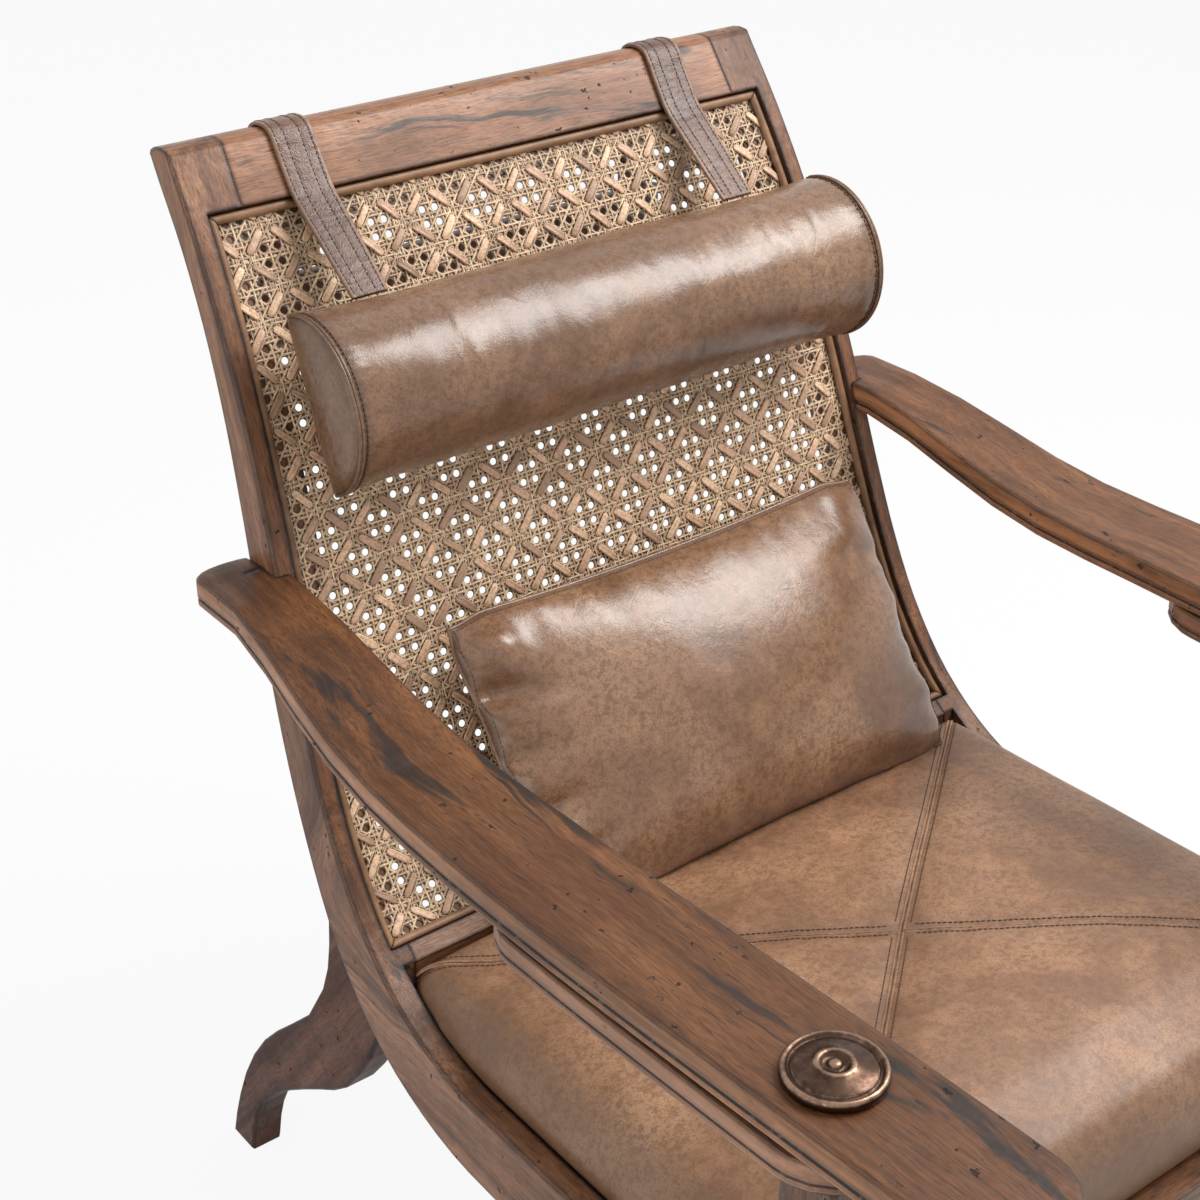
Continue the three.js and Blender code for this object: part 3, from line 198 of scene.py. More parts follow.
def worn_walnut(name, along, across, tint, bend=None, wear=1.0, polish=0.42, side_sheen=0.0, calm=0.0, gleam=0.34):
    """Old walnut: long dark figure, pores, pits, and grey-black rubbed arrises with light nicks; sideways faces can get
    a painted sheen.
    """
    along = Vector(along).normalized()
    across = Vector(across).normalized()
    side = along.cross(across)
    f = Finish(name, roughness=polish, specular=gleam)
    place = f.place()
    if bend:
        place = f.vector("SUBTRACT", place, bend)
    run = f.vector("DOT_PRODUCT", place, along)
    rise = f.vector("DOT_PRODUCT", place, across)
    deep = f.vector("DOT_PRODUCT", place, side)
    if bend:
        # The grain follows the sweep from the seat rail up into the stile
        height = f.add("ShaderNodeSeparateXYZ", Vector=place).outputs["Z"]
        turn = f.between(height, -0.06, 0.12)
        flat = f.add("ShaderNodeSeparateXYZ", Vector=place).outputs["Y"]
        run = f.add("ShaderNodeMix", Factor=turn, A=flat, B=run).outputs[0]
        rise = f.add("ShaderNodeMix", Factor=turn, A=height, B=rise).outputs[0]

    def stretched(rising, along_scale, across_scale, deep_scale):
        return f.combine(
            f.math("MULTIPLY", run, along_scale),
            f.math("MULTIPLY", rising, across_scale),
            f.math("MULTIPLY", deep, deep_scale),
        )

    wander = f.noise(f.combine(f.math("MULTIPLY", run, 4.0), rise, deep), 2.4, 2.0)
    wavy = f.math("ADD", rise, f.math("MULTIPLY", wander, 0.028))
    figure = f.noise(stretched(wavy, 2.2, 34.0, 30.0), 1.0, 6.0, 0.62, 0.35)
    streak = f.noise(stretched(wavy, 7.0, 190.0, 150.0), 1.0, 5.0, 0.65, 0.25)
    fibre = f.noise(stretched(rise, 70.0, 900.0, 900.0), 1.0, 3.0, 0.6)
    pores = f.noise(stretched(wavy, 55.0, 620.0, 620.0), 1.0, 1.0, 0.5)
    blotch = f.noise(place, 9.0, 5.0, 0.6)
    smoke = f.noise(stretched(wavy, 3.4, 21.0, 17.0), 1.0, 4.0, 0.7, 0.8)
    grain = f.math("ADD", f.math("MULTIPLY", figure, 0.66), f.math("MULTIPLY", streak, 0.34))
    colour = f.ramp(grain, [
        (0.37, shade(tint, 0.30)),
        (0.44, shade(tint, 0.66)),
        (0.50, tint),
        (0.56, shade((tint[0], tint[1] * 1.04, tint[2] * 1.02), 1.40)),
        (0.63, shade((tint[0], tint[1] * 1.10, tint[2] * 1.14), 1.90)),
    ])
    if calm:
        colour = f.mix(calm, colour, shade(tint, 1.15))
    colour = f.mix(f.between(blotch, 0.45, 0.75, 0.0, 0.50), colour, shade(tint, 1.9))
    red_brown = (tint[0] * 0.75, tint[1] * 0.46, tint[2] * 0.45)
    colour = f.mix(f.between(blotch, 0.50, 0.26, 0.0, 0.50), colour, red_brown)
    colour = f.mix(f.between(fibre, 0.34, 0.60, 0.60, 0.0), colour, shade(tint, 0.34))
    colour = f.mix(f.between(pores, 0.64, 0.74, 0.0, 0.62), colour, shade(tint, 0.16))
    colour = f.mix(f.between(smoke, 0.58, 0.66, 0.0, 0.86), colour, SMOKE)
    if side_sheen:
        # Painted sheen: faces that turn sideways are made paler and greyer than the top
        outward = f.add("ShaderNodeNewGeometry").outputs["Normal"]
        facing = f.add("ShaderNodeSeparateXYZ", Vector=outward).outputs["Z"]
        sideways = f.between(f.math("ABSOLUTE", facing), 0.85, 0.45, 0.0, side_sheen)
        # The tint of the painted sheen on the sideways faces
        rubbed = (tint[0], tint[1] * 1.22, tint[2] * 1.60)
        painted_sheen = f.ramp(grain, [(at, shade(rubbed, level)) for at, level in ((0.40, 1.5), (0.50, 2.8), (0.60, 4.0))])
        painted_sheen = f.mix(f.between(blotch, 0.52, 0.30, 0.0, 0.6), painted_sheen, shade(rubbed, 1.3))
        colour = f.mix(sideways, colour, painted_sheen)

    # Small dark pits, in clusters, and short scores across the grain
    pit_zone = f.between(f.noise(place, 17.0, 2.0), 0.47, 0.57)
    pit_warp = f.add("ShaderNodeTexNoise", Vector=place, Scale=210.0, Detail=2.0).outputs["Color"]
    pit_place = f.vector("ADD", place, f.vector("MULTIPLY", pit_warp, (0.009, 0.009, 0.009)))
    run_p, rise_p, deep_p = (f.vector("DOT_PRODUCT", pit_place, axis) for axis in (along, across, side))
    size = f.between(f.noise(place, 75.0, 2.0), 0.46, 0.70, 0.02, 0.32)
    pit_far = f.cells(f.combine(f.math("MULTIPLY", run_p, 0.55), rise_p, deep_p), 120.0)
    pit = f.math("MULTIPLY", f.between(f.math("SUBTRACT", size, pit_far), 0.0, 0.05), pit_zone)
    score_far = f.cells(stretched(rise, 46.0, 14.0, 14.0), 1.0)
    score_zone = f.between(f.noise(place, 11.0, 2.0), 0.56, 0.66)
    score = f.math("MULTIPLY", f.between(score_far, 0.055, 0.03), score_zone)
    marks = f.math("MAXIMUM", pit, score)
    colour = f.mix(f.math("MULTIPLY", marks, 0.9), colour, PIT)

    # Rubbed arrises: the rounded normal leaves the flat one near an edge
    soft_normal = f.add("ShaderNodeBevel", {"samples": 6}, Radius=0.0036).outputs[0]
    wide_normal = f.add("ShaderNodeBevel", {"samples": 6}, Radius=0.0065).outputs[0]
    flat_normal = f.add("ShaderNodeNewGeometry").outputs["Normal"]
    edge = f.math("SUBTRACT", 1.0, f.vector("DOT_PRODUCT", wide_normal, flat_normal))
    ragged = f.noise(place, 46.0, 6.0, 0.75)
    edge = f.math("ADD", edge, f.math("MULTIPLY", f.math("SUBTRACT", ragged, 0.5), 0.09))
    worn = f.between(edge, 0.008, 0.050, 0.0, wear * 0.95)
    colour = f.mix(worn, colour, RUBBED)
    nick_zone = f.between(f.noise(place, 95.0, 3.0, 0.7), 0.56, 0.66)
    nick = f.math("MULTIPLY", f.between(edge, 0.09, 0.16), nick_zone)
    colour = f.mix(f.math("MULTIPLY", nick, 0.6 * wear), colour, BARE)

    dull = f.between(figure, 0.3, 0.7, polish + 0.10, polish - 0.04)
    rough = f.math("ADD", dull, f.math("MULTIPLY", marks, 0.3))
    normal = f.bump(f.math("MULTIPLY", fibre, -1.0), 0.00010, soft_normal)
    normal = f.bump(f.math("MULTIPLY", pores, -1.0), 0.00016, normal)
    normal = f.bump(f.math("MULTIPLY", marks, -1.0), 0.0009, normal)
    normal = f.bump(f.noise(place, 26.0, 3.0), 0.0016, normal)
    return f.finish(colour, rough, normal)


def plain_wood(name, tint, polish=0.5):
    """Unstained inner timber, or a bead turned from paler wood."""
    f = Finish(name, roughness=polish, specular=0.4)
    place = f.place()
    grain = f.noise(f.vector("MULTIPLY", place, (30.0, 30.0, 30.0)), 1.0, 5.0, 0.65, 0.4)
    streak = f.noise(f.vector("MULTIPLY", place, (14.0, 60.0, 60.0)), 1.0, 4.0, 0.6)
    colour = f.ramp(grain, [(0.3, shade(tint, 0.62)), (0.5, tint), (0.72, shade(tint, 1.4))])
    colour = f.mix(f.between(streak, 0.5, 0.7, 0.0, 0.5), colour, shade(tint, 0.45))
    # Painted shade: near black where the wood is hemmed in, in gaps and corners
    crevice_shade = f.add("ShaderNodeAmbientOcclusion", {"samples": 6}, Distance=0.007).outputs["AO"]
    colour = f.mix(f.between(crevice_shade, 0.82, 0.45, 0.0, 0.88), colour, shade(tint, 0.10))
    soft_normal = f.add("ShaderNodeBevel", {"samples": 6}, Radius=0.0030).outputs[0]
    return f.finish(colour, None, f.bump(grain, 0.0003, soft_normal))


def glazed_leather(name, tint, gloss=0.27, pebble=0.00006, coat=0.0, crease=0.0007):
    """Waxed hide: clouded brown, darkened by the seam value, mostly painted shade, with fine pebble and creases."""
    f = Finish(name, roughness=gloss, specular=0.60, coat=coat, coat_roughness=0.24)
    place = f.place()
    cloud = f.noise(place, 7.5, 6.0, 0.62, 0.4)
    fleck = f.noise(place, 150.0, 4.0, 0.75)
    speck = f.noise(place, 620.0, 2.0, 0.6)
    wash = f.noise(place, 28.0, 4.0, 0.6)
    colour = f.ramp(cloud, [
        (0.30, shade((tint[0], tint[1] * 0.92, tint[2] * 0.90), 0.50)),
        (0.43, shade((tint[0], tint[1] * 0.96, tint[2] * 0.94), 0.80)),
        (0.55, shade(tint, 1.12)),
        (0.70, shade((tint[0], tint[1] * 1.07, tint[2] * 1.12), 1.50)),
    ])
    warm_dark = (tint[0] * 0.50, tint[1] * 0.42, tint[2] * 0.38)
    colour = f.mix(f.between(fleck, 0.56, 0.38, 0.0, 0.62), colour, warm_dark)
    colour = f.mix(f.between(wash, 0.52, 0.72, 0.0, 0.40), colour, shade(tint, 1.55))
    colour = f.mix(f.between(speck, 0.52, 0.34, 0.0, 0.55), colour, warm_dark)
    # The seam value darkens the hide: painted shade in grooves, along seams and down sides that turn from the light,
    # and dark joint lines
    seam = f.add("ShaderNodeAttribute", {"attribute_name": "seam"}).outputs["Fac"]
    colour = f.mix(f.math("MULTIPLY", seam, 0.66), colour, shade(tint, 0.30))
    cells = f.cells(place, 760.0)
    folds = f.noise(place, 150.0, 4.0, 0.65, 0.8)
    net = f.cells(f.vector("MULTIPLY", place, (38.0, 38.0, 38.0)), 1.0, "DISTANCE_TO_EDGE")
    veins = f.between(net, 0.0, 0.05, -1.0, 0.0)
    rough = f.math("ADD", gloss, f.math("MULTIPLY", f.math("SUBTRACT", wash, 0.5), 0.22))
    normal = f.bump(cells, pebble)
    normal = f.bump(folds, pebble * 2.0, normal)
    normal = f.bump(f.math("MULTIPLY", veins, f.between(cloud, 0.46, 0.62)), crease * 0.05, normal)
    normal = f.bump(f.noise(place, 34.0, 3.0, 0.6, 0.6), crease * 0.8, normal)
    return f.finish(colour, rough, normal)


def rattan(name, tint, spread=0.5, streaks=260.0, polish=0.46):
    """Peeled cane: satin, streaked along each strand, each strand its own tone, with painted shade where strands crowd
    each other.
    """
    f = Finish(name, roughness=polish, specular=0.50)
    place = f.place()
    tone = f.add("ShaderNodeAttribute", {"attribute_name": "tone"}).outputs["Fac"]
    mottle = f.noise(place, 330.0, 3.0, 0.6)
    colour = f.ramp(tone, [(0.0, shade(tint, 1.0 - spread)), (0.5, tint), (1.0, shade(tint, 1.0 + spread))])
    colour = f.mix(f.between(mottle, 0.58, 0.34, 0.0, 0.5), colour, shade(tint, 0.38))
    # Painted shade: darker where strands and bars hem each other in
    gap_shade = f.add("ShaderNodeAmbientOcclusion", {"samples": 4}, Distance=0.004).outputs["AO"]
    colour = f.mix(f.between(gap_shade, 0.80, 0.30, 0.0, 0.85), colour, shade(tint, 0.12))
    rib = f.noise(place, streaks, 2.0)
    return f.finish(colour, None, f.bump(rib, 0.0005))


def rubbed_bronze(name):
    """Dark bronze with coppery rubbed rims."""
    f = Finish(name, roughness=0.34, metallic=1.0)
    place = f.place()
    soft_normal = f.add("ShaderNodeBevel", {"samples": 6}, Radius=0.0022).outputs[0]
    wear = f.add("ShaderNodeAttribute", {"attribute_name": "rub"}).outputs["Fac"]
    cloud = f.noise(place, 120.0, 5.0, 0.65)
    rub = f.between(f.math("ADD", wear, f.math("MULTIPLY", f.math("SUBTRACT", cloud, 0.5), 0.9)), 0.35, 0.85)
    colour = f.ramp(cloud, [
        (0.30, (0.040, 0.024, 0.017)),
        (0.55, (0.090, 0.052, 0.036)),
        (0.75, (0.160, 0.095, 0.064)),
    ])
    colour = f.mix(rub, colour, (0.33, 0.21, 0.145))
    rough = f.between(cloud, 0.3, 0.7, 0.36, 0.22)
    normal = f.bump(f.noise(place, 240.0, 3.0), 0.00008, soft_normal)
    return f.finish(colour, rough, normal)


def plain_metal(name, tint, roughness):
    f = Finish(name, roughness=roughness, metallic=1.0)
    cloud = f.noise(f.place(), 180.0, 3.0)
    return f.finish(f.ramp(cloud, [(0.3, shade(tint, 0.7)), (0.7, tint)]), None, f.bump(cloud, 0.0001))


def thread(name, tint):
    f = Finish(name, roughness=0.55)
    twist = f.noise(f.place(), 1400.0, 2.0)
    return f.finish(f.ramp(twist, [(0.35, shade(tint, 0.55)), (0.65, tint)]), None, f.bump(twist, 0.0001))


# ---------------------------------------------------------------------------
# Mesh helpers
# ---------------------------------------------------------------------------


def piece(name, points, faces, body, material, stands_for=(), marks=None, smooth=True):
    """A new mesh object that rides on a body. marks are named values, one per point, read by its finish."""
    mesh = bpy.data.meshes.new(name)
    mesh.from_pydata([tuple(p) for p in points], [], [tuple(map(int, face)) for face in faces])
    mesh.update()
    mesh.polygons.foreach_set("use_smooth", [smooth] * len(mesh.polygons))
    for mark, values in (marks or {}).items():
        layer = mesh.attributes.new(mark, "FLOAT", "POINT")
        layer.data.foreach_set("value", np.asarray(values, dtype=np.float32))
    made = bpy.data.objects.new(name, mesh)
    bpy.context.scene.collection.objects.link(made)
    made.data.materials.append(material)
    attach(made, body)
    if stands_for:
        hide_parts(*stands_for)
    return made


def grid_faces(rows, columns, wrap=False, start=0):
    faces = []
    for i in range(rows - 1):
        for j in range(columns if wrap else columns - 1):
            k = (j + 1) % columns
            faces.append((start + i * columns + j, start + i * columns + k,
                          start + (i + 1) * columns + k, start + (i + 1) * columns + j))
    return faces


def end_caps(rows, around, start=0):
    """The two flat ends of a tube of rings."""
    last = start + (rows - 1) * around
    return [tuple(start + k for k in reversed(range(around))), tuple(last + k for k in range(around))]


def fan(around, ring, centre, first):
    """Triangles from a ring to its middle point; the first ring of a piece faces the other way."""
    faces = []
    for k in range(around):
        a, b = ring * around + k, ring * around + (k + 1) % around
        faces.append((b, a, centre) if first else (a, b, centre))
    return faces


def rim_of(rows, columns):
    """Numbers of the points round the outside of a grid."""
    rim = list(range(columns))
    rim += [i * columns + columns - 1 for i in range(1, rows)]
    rim += [(rows - 1) * columns + j for j in range(columns - 2, -1, -1)]
    rim += [i * columns for i in range(rows - 2, 0, -1)]
    return rim


def turns_of(around):
    return [2.0 * math.pi * k / around for k in range(around)]


def span_of(count):
    """Even places from -1 to 1."""
    return [-1.0 + 2.0 * k / (count - 1) for k in range(count)]


def bell(off, width):
    """1 in the middle, falling away over width."""
    return math.exp(-((off / width) ** 2))


def joined(parts):
    """Several (points, faces) pairs as one."""
    points, faces = [], []
    for part_points, part_faces in parts:
        offset = len(points)
        points.extend(part_points)
        faces.extend(tuple(i + offset for i in face) for face in part_faces)
    return points, faces


def tube(path, radius, around=8, closed=False, squash=1.0, normals=None):
    """A round tube along a path of points; squash flattens it along the given normals."""
    path = [Vector(p) for p in path]
    count = len(path)
    points = []
    for i, p in enumerate(path):
        before = path[i - 1] if closed or i else path[0]
        after = path[(i + 1) % count] if closed or i < count - 1 else path[-1]
        run = (after - before).normalized()
        up = Vector(normals[i]) if normals else Vector((0.0, 0.0, 1.0))
        out = run.cross(up)
        if out.length < 1e-6:
            out = run.cross(Vector((0.0, 1.0, 0.0)))
        out.normalize()
        up = out.cross(run).normalized()
        for angle in turns_of(around):
            points.append(p + out * math.cos(angle) * radius + up * math.sin(angle) * radius * squash)
    rows = count + 1 if closed else count
    faces = []
    for i in range(rows - 1):
        for k in range(around):
            a, b = i % count, (i + 1) % count
            n = (k + 1) % around
            faces.append((a * around + k, a * around + n, b * around + n, b * around + k))
    if not closed:
        faces += end_caps(count, around)
    return points, faces


def along_path(path, step, offset=0.0):
    """Evenly spaced (point, direction) along a path."""
    path = [Vector(p) for p in path]
    lengths = [0.0]
    for a, b in zip(path, path[1:]):
        lengths.append(lengths[-1] + (b - a).length)
    made, at, i = [], offset, 0
    while at < lengths[-1]:
        while i < len(path) - 2 and lengths[i + 1] < at:
            i += 1
        span = max(lengths[i + 1] - lengths[i], 1e-9)
        made.append((path[i].lerp(path[i + 1], (at - lengths[i]) / span), (path[i + 1] - path[i]).normalized()))
        at += step
    return made


def stitch_row(path, step, length, radius):
    """One row of short sewn stitches, each a straight length of thread."""
    parts = []
    for point, run in along_path(path, step, step / 2.0):
        stops = [point + run * (length * share) for share in (-0.5, -0.25, 0.25, 0.5)]
        parts.append(tube(stops, radius, 5))
    return joined(parts)


# ---------------------------------------------------------------------------
# The curve of the back, read from the frame's cane panel
# ---------------------------------------------------------------------------


class Curve:
    """A smooth line in the side view, with the direction square to it at each place."""

    def __init__(self, line, samples, smoothing, passes):
        line = np.array(line)
        arc = np.concatenate([[0.0], np.cumsum(np.hypot(*np.diff(line, axis=0).T))])
        self.length = arc[-1]
        self.s = np.linspace(0.0, self.length, samples)
        y = np.interp(self.s, arc, line[:, 0])
        z = np.interp(self.s, arc, line[:, 1])
        kernel = np.ones(smoothing) / smoothing
        for _ in range(passes):
            y = self.relax(y, kernel)
            z = self.relax(z, kernel)
        self.y, self.z = y, z
        dy, dz = np.gradient(y, self.s), np.gradient(z, self.s)
        size = np.hypot(dy, dz)
        self.ny, self.nz = -dz / size, dy / size

    @staticmethod
    def relax(values, kernel):
        pad = len(kernel) // 2
        low = 2 * values[0] - values[1:pad + 1][::-1]
        high = 2 * values[-1] - values[-pad - 1:-1][::-1]
        return np.convolve(np.concatenate([low, values, high]), kernel, "valid")


class BackCurve(Curve):
    """The cane panel's curve from its lower to its upper edge."""

    # Rows of the panel's points nearer than this to the last one are passed over
    ROW_GAP = 0.004

    def __init__(self):
        seen = {(round(v.co.y, 4), round(v.co.z, 4)) for v in NODES["cane_panel"].data.vertices}
        line = sorted(seen, key=lambda pair: pair[1])
        front = []
        for first, second in zip(line[0::2], line[1::2]):
            middle = ((first[0] + second[0]) / 2.0, (first[1] + second[1]) / 2.0)
            if not front or middle[1] - front[-1][1] > self.ROW_GAP:
                front.append(middle)
        super().__init__(front, samples=400, smoothing=13, passes=2)

    def points(self, x, s, lift):
        """Points at sideways place x, arc s up the back and lift towards the sitter, as an array."""
        y = np.interp(s, self.s, self.y) + lift * np.interp(s, self.s, self.ny)
        z = np.interp(s, self.s, self.z) + lift * np.interp(s, self.s, self.nz)
        return np.stack([x, y, z], -1)


BACK = BackCurve()


# ---------------------------------------------------------------------------
# Settings
# ---------------------------------------------------------------------------


def colour_setting(name, text, value):
    return bpy.props.FloatVectorProperty(
        name=name, description=text, default=value, size=3, min=0.0, max=1.0, subtype="COLOR"
    )


def length_setting(name, text, value):
    return bpy.props.FloatProperty(
        name=name, description=text, default=value, min=0.0, unit="LENGTH", subtype="DISTANCE", precision=4
    )


class PlantersWoodSettings(bpy.types.PropertyGroup):
    walnut: colour_setting("Walnut", "Middle tone of the worn walnut", (0.142, 0.062, 0.029))
    bead: colour_setting("Bead", "Golden half-round bead round the cane", (0.310, 0.165, 0.085))
    inner: colour_setting("Inner timber", "Unstained wood inside the seat frame", (0.430, 0.300, 0.180))
    bronze_rub: bpy.props.FloatProperty(
        name="Rubbed rims", description="How far the rosettes are rubbed back to copper",
        default=0.75, min=0.0, max=1.0, subtype="FACTOR",
    )


class PlantersCaneSettings(bpy.types.PropertyGroup):
    pitch_across: length_setting("Pitch across", "Distance between holes across the back", 0.01262)
    pitch_up: length_setting("Pitch up", "Distance between holes up the back", 0.01286)
    group_x: length_setting("Hole group from the right", "Sideways place of one group of four holes", 0.1633)
    group_s: length_setting("Hole group height", "Arc height of the same group", 0.33975)
    strand: length_setting("Strand width", "Width of a fine strand", 0.0023)
    hole: length_setting("Hole radius", "Radius of a round hole", 0.0031)
    bar: length_setting("Bar width", "Width of a raised bar", 0.0064)
    straw: colour_setting("Straw", "Fine strands", (0.820, 0.560, 0.360))
    bark: colour_setting("Bar", "Raised bars", (0.760, 0.470, 0.300))


class PlantersLeatherSettings(bpy.types.PropertyGroup):
    hide: colour_setting("Hide", "Middle tone of the cushions", (0.395, 0.214, 0.117))
    strap: colour_setting("Strap", "Middle tone of the straps", (0.165, 0.078, 0.044))
    thread: colour_setting("Thread", "Sewing thread", (0.110, 0.058, 0.036))
    pad_crown: length_setting("Seat crown", "Rise of the seat above its edge seam", 0.052)
    lumbar_width: length_setting("Lumbar width", "Seam to seam across", 0.466)
    lumbar_height: length_setting("Lumbar height", "Seam to seam upwards", 0.275)
    lumbar_thickness: length_setting("Lumbar thickness", "At its fullest", 0.122)
    roll_radius: length_setting("Headrest radius", "Round front of the headrest, from seam to crown", 0.0705)
    roll_back: length_setting("Headrest back", "Depth of the headrest behind its end seams", 0.0444)
    roll_flare: length_setting("Headrest corners", "How far the end corners stand out", 0.004)
    strap_width: length_setting("Strap width", "Width of a headrest strap over the crest", 0.0390)
    strap_end: length_setting("Strap end width", "Width of a strap where it joins the headrest", 0.0335)
    strap_thickness: length_setting("Strap thickness", "Two layers sewn together", 0.0034)


class PlantersStageSettings(bpy.types.PropertyGroup):
    lens: bpy.props.FloatProperty(
        name="Lens", description="Focal length on a 36 mm sensor", default=64.515, min=10.0, unit="CAMERA"
    )
    camera_place: bpy.props.FloatVectorProperty(
        name="Camera", description="Where the camera stands", default=(-1.0359, -1.0209, 1.4593), subtype="XYZ",
        unit="LENGTH",
    )
    camera_turn: bpy.props.FloatVectorProperty(
        name="Camera turn", description="Camera rotation",
        default=(math.radians(60.64), 0.0, math.radians(-37.92)), subtype="EULER", unit="ROTATION",
    )
    floor: colour_setting("Floor", "Pale studio floor", (0.93, 0.93, 0.93))


def settings(group):
    return getattr(bpy.context.scene, "planters_chair_" + group)


# ---------------------------------------------------------------------------
# Pieces
# ---------------------------------------------------------------------------


class PLANTERS_OT_stage(bpy.types.Operator):
    """Camera, floor, world and soft lamps"""

    bl_idname = "planters_chair.stage"
    bl_label = "Stage and camera"

    # Each lamp's name, place, aim, size and power
    LAMPS = [
        ("soft_right", (1.28, -0.46, 2.48), (0.0, 0.20, 0.60), (1.15, 1.45), 54.0),
        ("soft_left", (-2.60, -0.70, 1.20), (0.0, 0.10, 0.45), (2.0, 2.0), 16.0),
    ]
    # Half the floor's width, the floor's own light that the camera sees, the world's light on the chair
    FLOOR_REACH = 9.0
    FLOOR_GLOW = 0.90
    WORLD_LIGHT = 0.50

    def execute(self, context):
        s = settings("stage")
        scene = context.scene
        camera = bpy.data.objects.new("studio_camera", bpy.data.cameras.new("studio_camera"))
        camera.data.lens = s.lens
        camera.data.sensor_width = 36.0
        camera.data.clip_end = 50.0
        camera.location = s.camera_place
        camera.rotation_euler = Euler(s.camera_turn)
        scene.collection.objects.link(camera)
        scene.camera = camera

        floor_mesh = bpy.data.meshes.new("studio_floor")
        reach = self.FLOOR_REACH
        floor_mesh.from_pydata(
            [(-reach, -reach, 0.0), (reach, -reach, 0.0), (reach, reach, 0.0), (-reach, reach, 0.0)],
            [], [(0, 1, 2, 3)],
        )
        floor = bpy.data.objects.new("studio_floor", floor_mesh)
        scene.collection.objects.link(floor)
        floor.data.materials.append(self.floor_finish(s))

        self.world(scene)
        for lamp in self.LAMPS:
            self.lamp(*lamp)
        scene.view_settings.view_transform = "Standard"
        return {"FINISHED"}

    def floor_finish(self, s):
        f = Finish("pale_floor", roughness=0.9, specular=0.0)
        f.put(f.shader.inputs["Base Color"], (*s.floor, 1.0))
        path = f.add("ShaderNodeLightPath").outputs
        mirrored = f.math("MAXIMUM", path["Is Glossy Ray"], path["Is Transmission Ray"])
        seen = f.math("MAXIMUM", path["Is Camera Ray"], mirrored)
        white = f.add("ShaderNodeEmission", Color=(1.0, 1.0, 1.0, 1.0), Strength=1.0)
        both = f.add("ShaderNodeMixShader", Fac=f.math("MULTIPLY", seen, self.FLOOR_GLOW))
        f.tree.links.new(f.shader.outputs[0], both.inputs[1])
        f.tree.links.new(white.outputs[0], both.inputs[2])
        f.tree.links.new(both.outputs[0], f.tree.nodes["Material Output"].inputs[0])
        return f.material

    def world(self, scene):
        world = bpy.data.worlds.new("studio_world")
        world.use_nodes = True
        tree = world.node_tree
        back = tree.nodes["Background"]
        back.inputs[0].default_value = (1.0, 1.0, 1.0, 1.0)
        path = tree.nodes.new("ShaderNodeLightPath").outputs
        seen = path["Is Camera Ray"]
        for name in ("Is Glossy Ray", "Is Transmission Ray"):
            most = tree.nodes.new("ShaderNodeMath")
            most.operation = "MAXIMUM"
            tree.links.new(seen, most.inputs[0])
            tree.links.new(path[name], most.inputs[1])
            seen = most.outputs[0]
        level = tree.nodes.new("ShaderNodeMapRange")
        tree.links.new(seen, level.inputs["Value"])
        level.inputs["To Min"].default_value = self.WORLD_LIGHT
        level.inputs["To Max"].default_value = 1.0
        tree.links.new(level.outputs[0], back.inputs[1])
        scene.world = world

    @staticmethod
    def lamp(name, place, target, size, power):
        data = bpy.data.lights.new(name, "AREA")
        data.shape = "RECTANGLE"
        data.size, data.size_y = size
        data.energy = power
        lamp = bpy.data.objects.new(name, data)
        lamp.location = place
        lamp.rotation_euler = (Vector(target) - Vector(place)).to_track_quat("-Z", "Y").to_euler()
        bpy.context.scene.collection.objects.link(lamp)


